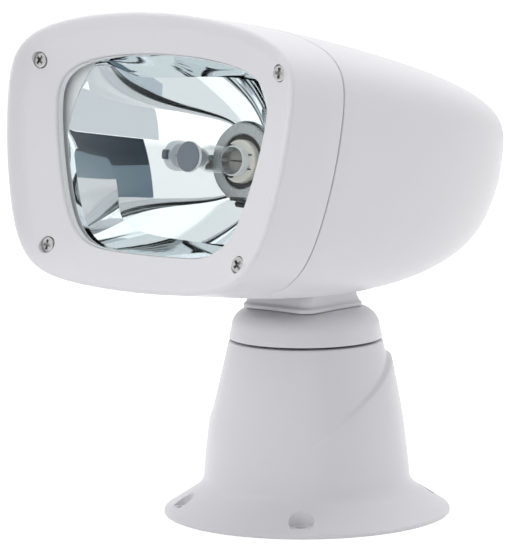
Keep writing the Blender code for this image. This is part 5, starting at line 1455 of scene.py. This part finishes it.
@dataclass
class Pedestal(Assembly):
    """The flared deck pedestal with its raised wave skin and four screw pockets."""
    body: Body = Body.BASE
    flange_radius: float = 0.0700
    flange_foot: tuple[float, ...] = (0.0004, 0.0007, 0.0018)
    flange_edge: float = 0.0012
    flange_slope: Pair = (0.0016, 0.0011)
    flange_top: float = 0.0132
    shelf: Pair = (0.0009, 0.0002)
    shelf_fillet: tuple[float, float, float] = (0.0036, 0.0024, 0.0026)
    foot_radius: float = 0.0506
    foot_z: float = 0.0150
    skirt_top_radius: float = 0.0414
    skirt_top_z: float = 0.0783
    swell: float = 0.0013
    top_z: float = 0.0845
    top_radius: float = 0.0375
    top_edge: float = 0.0008
    taper: float = 0.24
    wall: float = 0.0030
    deck_underside: float = 0.0810
    bore: float = 0.0110
    plate_seat: float = 0.0550
    ledge_z: float = 0.0033
    wave_start: float = math.radians(33)
    wave_end: float = math.radians(135)
    wave_low: float = 0.0345
    wave_high: float = 0.0775
    wave_curve: float = 1.4
    wave_width: float = 0.0024
    hole_circle: float = 0.0616
    hole_angle: float = math.radians(37.9)
    hole_radius: float = 0.00275
    pocket_radius: float = 0.0060
    pocket_floor: float = 0.0040
    pocket_top: float = 0.030
    columns: int = 240

    def skirt(self, z: float) -> float:
        """The raised skin's radius."""
        t = (z - self.foot_z) / (self.skirt_top_z - self.foot_z)
        return (self.foot_radius + (self.skirt_top_radius - self.foot_radius) * t
                + 4 * self.swell * t * (1 - t))

    def cone(self, z: float) -> float:
        """The plain taper's radius above the wave."""
        return min(self.top_radius + self.taper * (self.top_z - z), self.skirt(z))

    def wave(self, angle: float) -> float:
        """The height of the raised skin's edge at an angle from the front."""
        t = (abs(angle) - self.wave_start) / (self.wave_end - self.wave_start)
        rise = 1 - (1 - min(max(t, 0.0), 1.0)) ** self.wave_curve
        return self.wave_low + (self.wave_high - self.wave_low) * rise

    def column(self, angle: float) -> list[Pair]:
        """Draws one side of the section, round to the open underside.

        Args:
            angle: its direction from the front.

        Returns:
            Its (radius, height) points.
        """
        low, high = self.wave(angle) - self.wave_width / 2, self.wave(angle) + self.wave_width / 2
        rim, (side, low_bend, high_bend) = self.flange_radius, self.flange_foot
        shelf = (self.foot_radius + self.shelf[0], self.flange_top + self.shelf[1])
        slope = (rim - self.flange_slope[0], self.flange_edge + self.flange_slope[1])
        out, down, up = self.shelf_fillet
        above, top = self.foot_z + up, self.top_z - self.top_edge
        column = [(rim, 0.0), (rim, side)]
        column += bend_points((rim, low_bend), (rim, high_bend), slope, 5)
        column += bend_points((shelf[0] + out, shelf[1] - down), shelf, (self.skirt(above), above),
                              7)
        column += [(self.skirt(z), z) for z in (above + (low - above) * k / 12
                                                for k in range(1, 13))]
        for k in range(1, 8):
            share = k / 8
            ease = share * share * (3 - 2 * share)
            z = low + (high - low) * share
            column.append((self.skirt(z) * (1 - ease) + self.cone(z) * ease, z))
        column += [(self.cone(z), z) for z in (high + (top - high) * k / 12 for k in range(13))]
        column += bend_points((self.cone(top), top), (self.top_radius, self.top_z),
                              (self.top_radius - self.top_edge, self.top_z), 4)[1:]
        column += [(self.bore, self.top_z), (self.bore, self.deck_underside)]
        column += [(self.cone(z) - self.wall, z) for z in (self.deck_underside, self.ledge_z)]
        return column + [(self.plate_seat, self.ledge_z), (self.plate_seat, 0.0)]

    def build(self) -> None:
        """Makes the moulding with its pockets and deck holes."""
        columns = []
        for i in range(self.columns):
            angle = 2 * math.pi * i / self.columns - math.pi
            columns.append([(r * math.sin(angle), -r * math.cos(angle), z)
                            for r, z in self.column(angle)])
        shell = Stock.skinned([np.array(row) for row in zip(*columns)], cyclic=True)
        angles = [middle + side * self.hole_angle for middle in (-QUARTER, QUARTER)
                  for side in (-1, 1)]
        places = [Matrix.Translation((self.hole_circle * math.cos(angle),
                                      self.hole_circle * math.sin(angle), 0)) for angle in angles]
        pocket = Stock.rod(self.pocket_radius, self.pocket_floor, self.pocket_top)
        hole = Stock.rod(self.hole_radius, -0.002, self.pocket_floor + 0.001, 32)
        self.fit(shell.cut(pocket.copies(places), hole.copies(places)), "pedestal_moulding",
                 Slot.WHITE, "pedestal")


@dataclass
class Turret(Assembly):
    """The turret's rounded cap and the neck that carries the head."""
    body: Body = Body.TURRET
    rim_z: float = 0.0857
    rim_edge: float = 0.0007
    radius: float = 0.0374
    lean: float = 0.0012
    top_z: float = 0.1010
    shoulder_radius: float = 0.0245
    shoulder_drop: float = 0.0100
    wall: float = 0.0030
    bore: float = 0.0080
    neck_half: float = 0.0210
    neck_front: float = -0.0230
    neck_rear: float = 0.0190
    neck_corner: float = 0.0060
    neck_foot: float = 0.0003
    neck_shoulder: float = 0.0111
    foot_spread: tuple[Pair, ...] = ((0.0, 0.0016), (0.0014, 0.0016), (0.0018, 0.0014),
                                     (0.0022, 0.0008), (0.0028, 0.00025), (0.0036, 0.0))
    neck_steps: int = 22
    ear_front: float = 0.0110
    ear_rear: float = 0.0095
    ear_outside: float = 0.0195
    ear_thickness: float = 0.0050
    ear_radius: float = 0.0090
    shaft_radius: float = 0.0033

    def shoulder(self, inward: float, steps: int) -> list[Pair]:
        """Draws the rounded shoulder from the side up to the flat top.

        Args:
            inward: how far inside the outer skin.
            steps: its parts.

        Returns:
            Its (radius, height) points.
        """
        reach = self.radius - self.lean - self.shoulder_radius - inward
        rise = self.shoulder_drop - inward
        centre = self.top_z - self.shoulder_drop
        angles = [QUARTER * k / steps for k in range(steps + 1)]
        return [(self.shoulder_radius + reach * math.cos(a), centre + rise * math.sin(a))
                for a in angles]

    def build_cap(self) -> None:
        """Makes the cap, open underneath."""
        profile = front_edge(self.radius, self.rim_z, self.rim_edge, 4)
        profile += self.shoulder(0, 20)
        profile += [(self.bore, self.top_z), (self.bore, self.top_z - self.wall)]
        profile += self.shoulder(self.wall, 6)[::-1]
        profile += [(self.radius - self.lean - self.wall, self.rim_z)]
        self.fit(Stock.turned(profile, FINE_ROUND), "turret_shell", Slot.WHITE, "turret_cap")

    def neck_levels(self) -> list[tuple[float, float, float, float, float]]:
        """Draws the neck from its foot to the ears.

        Returns:
            Its sections as (height, half width, front, rear, corner).
        """
        half, front, rear = self.neck_half, self.neck_front, self.neck_rear
        corner, foot = self.neck_corner, self.top_z + self.neck_foot
        levels = [(foot + rise, half + s, front - s, rear + s, corner + s)
                  for rise, s in self.foot_spread]
        shoulder = self.top_z + self.neck_shoulder
        heights = [levels[-1][0], shoulder, shoulder + 0.004, shoulder + 0.010]
        insets = [(0.0, 0.0, 0.0012, 0.0019), (0.0, 0.0010, 0.0040, 0.0100),
                  (0.0004, 0.0035, 0.0050, 0.0085)]
        for z in np.linspace(heights[0], heights[-1], self.neck_steps)[1:]:
            pinch, ahead, behind = (float(np.interp(z, heights, row)) for row in insets)
            levels.append((z, half - pinch, front + ahead, rear - behind, corner))
        return levels

    def ear(self, inner_x: float) -> Stock:
        """Makes one of the two ears round the tilt shaft.

        Args:
            inner_x: where its inner face or, on the left, its outer face stands.

        Returns:
            The ear.
        """
        foot = self.top_z + self.neck_shoulder
        profile = [(self.neck_front + self.ear_front, foot), (self.neck_rear - self.ear_rear, foot)]
        for k in range(33):
            angle = math.pi * (0.06 + 0.88 * k / 32)
            profile.append((self.ear_radius * math.cos(angle),
                            HEAD.pivot_z + self.ear_radius * math.sin(angle)))
        plate = Stock.prism([(z, -y) for y, z in profile], inner_x, inner_x + self.ear_thickness)
        turn = Matrix(((0, 0, 1, 0), (0, -1, 0, 0), (1, 0, 0, 0), (0, 0, 0, 1)))
        return plate.placed(turn).outward()

    def build_neck(self) -> None:
        """Makes the neck with its ears, lead bore and shaft hole."""
        rows = []
        for z, half, front, rear, corner in self.neck_levels():
            outline = rounded_rectangle(-half, half, front, rear, corner)
            rows.append(np.array([(x, y, z) for x, y in outline]))
        shaft = Stock.rod(self.shaft_radius, -0.03, 0.03, 32)
        shaft.placed(Matrix.Translation((0, 0, HEAD.pivot_z)) @ Matrix.Rotation(QUARTER, 4, "Y"))
        bore = Stock.rod(self.bore, self.top_z - 0.01, self.top_z + 0.03, 64)
        neck = Stock.skinned(capped(rows)).joined(
            self.ear(self.ear_outside - self.ear_thickness), self.ear(-self.ear_outside))
        self.fit(neck.cut(bore, shaft), "neck_moulding", Slot.WHITE, "neck")

    def build(self) -> None:
        """Makes the cap and the neck."""
        self.build_cap()
        self.build_neck()


@dataclass
class CarriedNodes:
    """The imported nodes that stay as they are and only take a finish."""
    frame: dict
    finishes: dict[Slot, bpy.types.Material]

    def build(self) -> None:
        """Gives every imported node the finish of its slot."""
        own = {"lens_gasket": PALE_SILICONE.material()}
        for part in self.frame["record"]["subparts"]:
            name = part["node"]
            finish = own.get(name, self.finishes[Slot(part["material_slot"])])
            self.frame["nodes"][name].material_slots[0].material = finish
        LOG.info("%d packed nodes dressed", len(self.frame["nodes"]))


# Studio

def bearing(azimuth: float, elevation: float) -> Vector:
    """The direction at these angles. Azimuth runs from the lens side towards +X."""
    level = math.cos(elevation)
    return Vector((math.sin(azimuth) * level, -math.cos(azimuth) * level, math.sin(elevation)))


@dataclass(frozen=True)
class Softbox:
    """A square area lamp that looks at the light, placed by its bearing in degrees."""
    name: str
    azimuth: float
    elevation: float
    size: float
    power: float
    distance: float = 1.6
    target: tuple[float, float, float] = (0.0, 0.0, 0.13)

    def build(self) -> None:
        """Hangs the lamp, which mirrors don't show."""
        data = bpy.data.lights.new(self.name, "AREA")
        data.shape = "SQUARE"
        data.size = self.size
        data.energy = self.power
        towards = bearing(math.radians(self.azimuth), math.radians(self.elevation))
        item = put(self.name, data)
        item.location = Vector(self.target) + towards * self.distance
        item.rotation_euler = (-towards).to_track_quat("-Z", "Y").to_euler()
        item.visible_glossy = False


@dataclass(frozen=True)
class MirrorCard:
    """A glowing card that only mirrors show: a band round the light, upright or on the floor."""
    name: str
    colour: Colour
    azimuths: Pair
    heights: Pair
    radii: Pair = (1.10, 1.10)
    centre: Pair = (-0.045, -0.085)
    steps: int = 24

    def build(self) -> None:
        """Puts up the card. Its azimuths are in degrees from the lens side towards +X."""
        start, end = self.azimuths
        points = []
        for k in range(self.steps + 1):
            angle = math.radians(start + (end - start) * k / self.steps)
            points += [(self.centre[0] + radius * math.sin(angle),
                        self.centre[1] - radius * math.cos(angle), z)
                       for radius, z in zip(self.radii, self.heights)]
        faces = [(k, k + 1, k + 3, k + 2) for k in range(0, 2 * self.steps, 2)]
        work = Paintwork(self.name)
        mesh = plain_mesh(self.name, points, faces)
        mesh.materials.append(work.finish(work.glow(self.colour, 1.0)))
        card = put(self.name, mesh)
        for ray in ("camera", "diffuse", "shadow", "transmission"):
            setattr(card, f"visible_{ray}", False)


@dataclass
class Studio:
    """A pale floor, a white surround, soft lamps and the photograph's camera."""
    ambient: float = 0.600
    floor_half: float = 6.0
    floor_colour: Colour = (0.88, 0.88, 0.88)
    floor_lift: float = 0.48
    camera_place: tuple[float, float, float] = (1.0314, -1.2081, 0.3326)
    camera_azimuth: float = math.radians(41.36)
    camera_tilt: float = math.radians(7.76)
    camera_roll: float = -0.009673
    camera_lens: float = 215.9
    cards: list[MirrorCard] = field(default_factory=lambda: [
        MirrorCard("dark_flag", (0.0165, 0.0285, 0.0420), (60.0, 104.0), (0.010, 0.480)),
        MirrorCard("slate_flag", (0.135, 0.190, 0.235), (60.0, 104.0), (0.480, 1.387)),
        MirrorCard("pale_flag", (0.578, 0.624, 0.686), (60.0, 104.0), (1.387, 4.200)),
        # painted shade: a pale grey glowing card on the floor, shown only by mirrors in place of
        # the floor's shading
        MirrorCard("floor_card", (0.680, 0.710, 0.745), (54.0, 104.0), (0.0006, 0.0006),
                   (0.240, 1.098)),
    ])
    softboxes: list[Softbox] = field(default_factory=lambda: [
        Softbox("top_softbox", 0.0, 88.0, 1.2, 10.8),
        Softbox("left_high_softbox", -90.0, 55.0, 0.9, 1.5),
        Softbox("rear_high_softbox", 170.0, 55.0, 0.9, 2.2),
        Softbox("left_softbox", -75.0, 20.0, 0.9, 2.3),
        Softbox("front_left_softbox", -35.0, 25.0, 0.9, 1.7),
        Softbox("front_softbox", 5.0, 20.0, 0.9, 1.9),
        Softbox("right_rear_softbox", 130.0, 20.0, 0.9, 1.1),
        Softbox("rear_softbox", 175.0, 20.0, 0.9, 3.1),
    ])

    def seen_directly(self, sheet: Sheet) -> Signal:
        """Is 1 for rays that show the surround: straight, by gloss or through glass."""
        kinds = [sheet.node("ShaderNodeLightPath", None, None, f"Is {kind} Ray")
                 for kind in ("Camera", "Glossy", "Transmission")]
        return kinds[0].most(kinds[1]).most(kinds[2])

    def build_world(self) -> None:
        """Makes the white surround, which lights the object at a lower level than it shows."""
        world = bpy.data.worlds.new("surround")
        bpy.context.scene.world = world
        world.use_nodes = True
        sheet = Sheet(world.node_tree)
        sheet.tree.nodes.clear()
        strength = self.ambient + self.seen_directly(sheet) * (1.0 - self.ambient)
        light = sheet.node("ShaderNodeBackground", None,
                           {"Color": FULL_WHITE, "Strength": strength})
        sheet.node("ShaderNodeOutputWorld", None, {"Surface": light})

    def build_floor(self) -> None:
        """Makes the floor, which looks white and keeps a faint shadow."""
        work = Paintwork("floor")
        matte = work.node("ShaderNodeBsdfDiffuse", None, {"Color": self.floor_colour})
        lift = work.glow(FULL_WHITE, self.seen_directly(work) * self.floor_lift)
        half = self.floor_half
        mesh = plain_mesh("floor", [(-half, -half, 0), (half, -half, 0), (half, half, 0),
                                    (-half, half, 0)], [(0, 1, 2, 3)])
        mesh.materials.append(work.finish(work.node("ShaderNodeAddShader", None, [matte, lift])))
        put("floor", mesh)

    def build_camera(self) -> None:
        """Sets the camera that was solved from the photograph."""
        ahead = -bearing(self.camera_azimuth, self.camera_tilt)
        right = Vector((math.cos(self.camera_azimuth), math.sin(self.camera_azimuth), 0))
        up = right.cross(ahead)
        level, roll = math.cos(self.camera_roll), math.sin(self.camera_roll)
        right, up = right * level + up * roll, up * level - right * roll
        data = bpy.data.cameras.new("camera")
        data.sensor_fit = "AUTO"
        data.sensor_width = 36.0
        data.lens = self.camera_lens
        data.clip_start = 0.05
        item = put("camera", data)
        item.matrix_world = (Matrix.Translation(self.camera_place)
                             @ Matrix((right, up, -ahead)).transposed().to_4x4())
        bpy.context.scene.camera = item

    def build(self) -> None:
        """Makes the whole studio."""
        bpy.context.scene.view_settings.view_transform = "Standard"
        self.build_camera()
        self.build_world()
        self.build_floor()
        for item in [*self.softboxes, *self.cards]:
            item.build()


def main() -> None:
    """Builds the searchlight and its studio."""
    logging.basicConfig(level=logging.INFO, format="%(message)s")
    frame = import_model()
    Studio().build()
    finishes = light_finishes()
    CarriedNodes(frame, finishes).build()
    for assembly in (Pedestal, Turret, RearHousing, Bezel, FaceScrews, Reflector, Lamp):
        assembly(finishes).build()
        LOG.info("%s done", assembly.__name__)


if __name__ == "__main__":
    main()
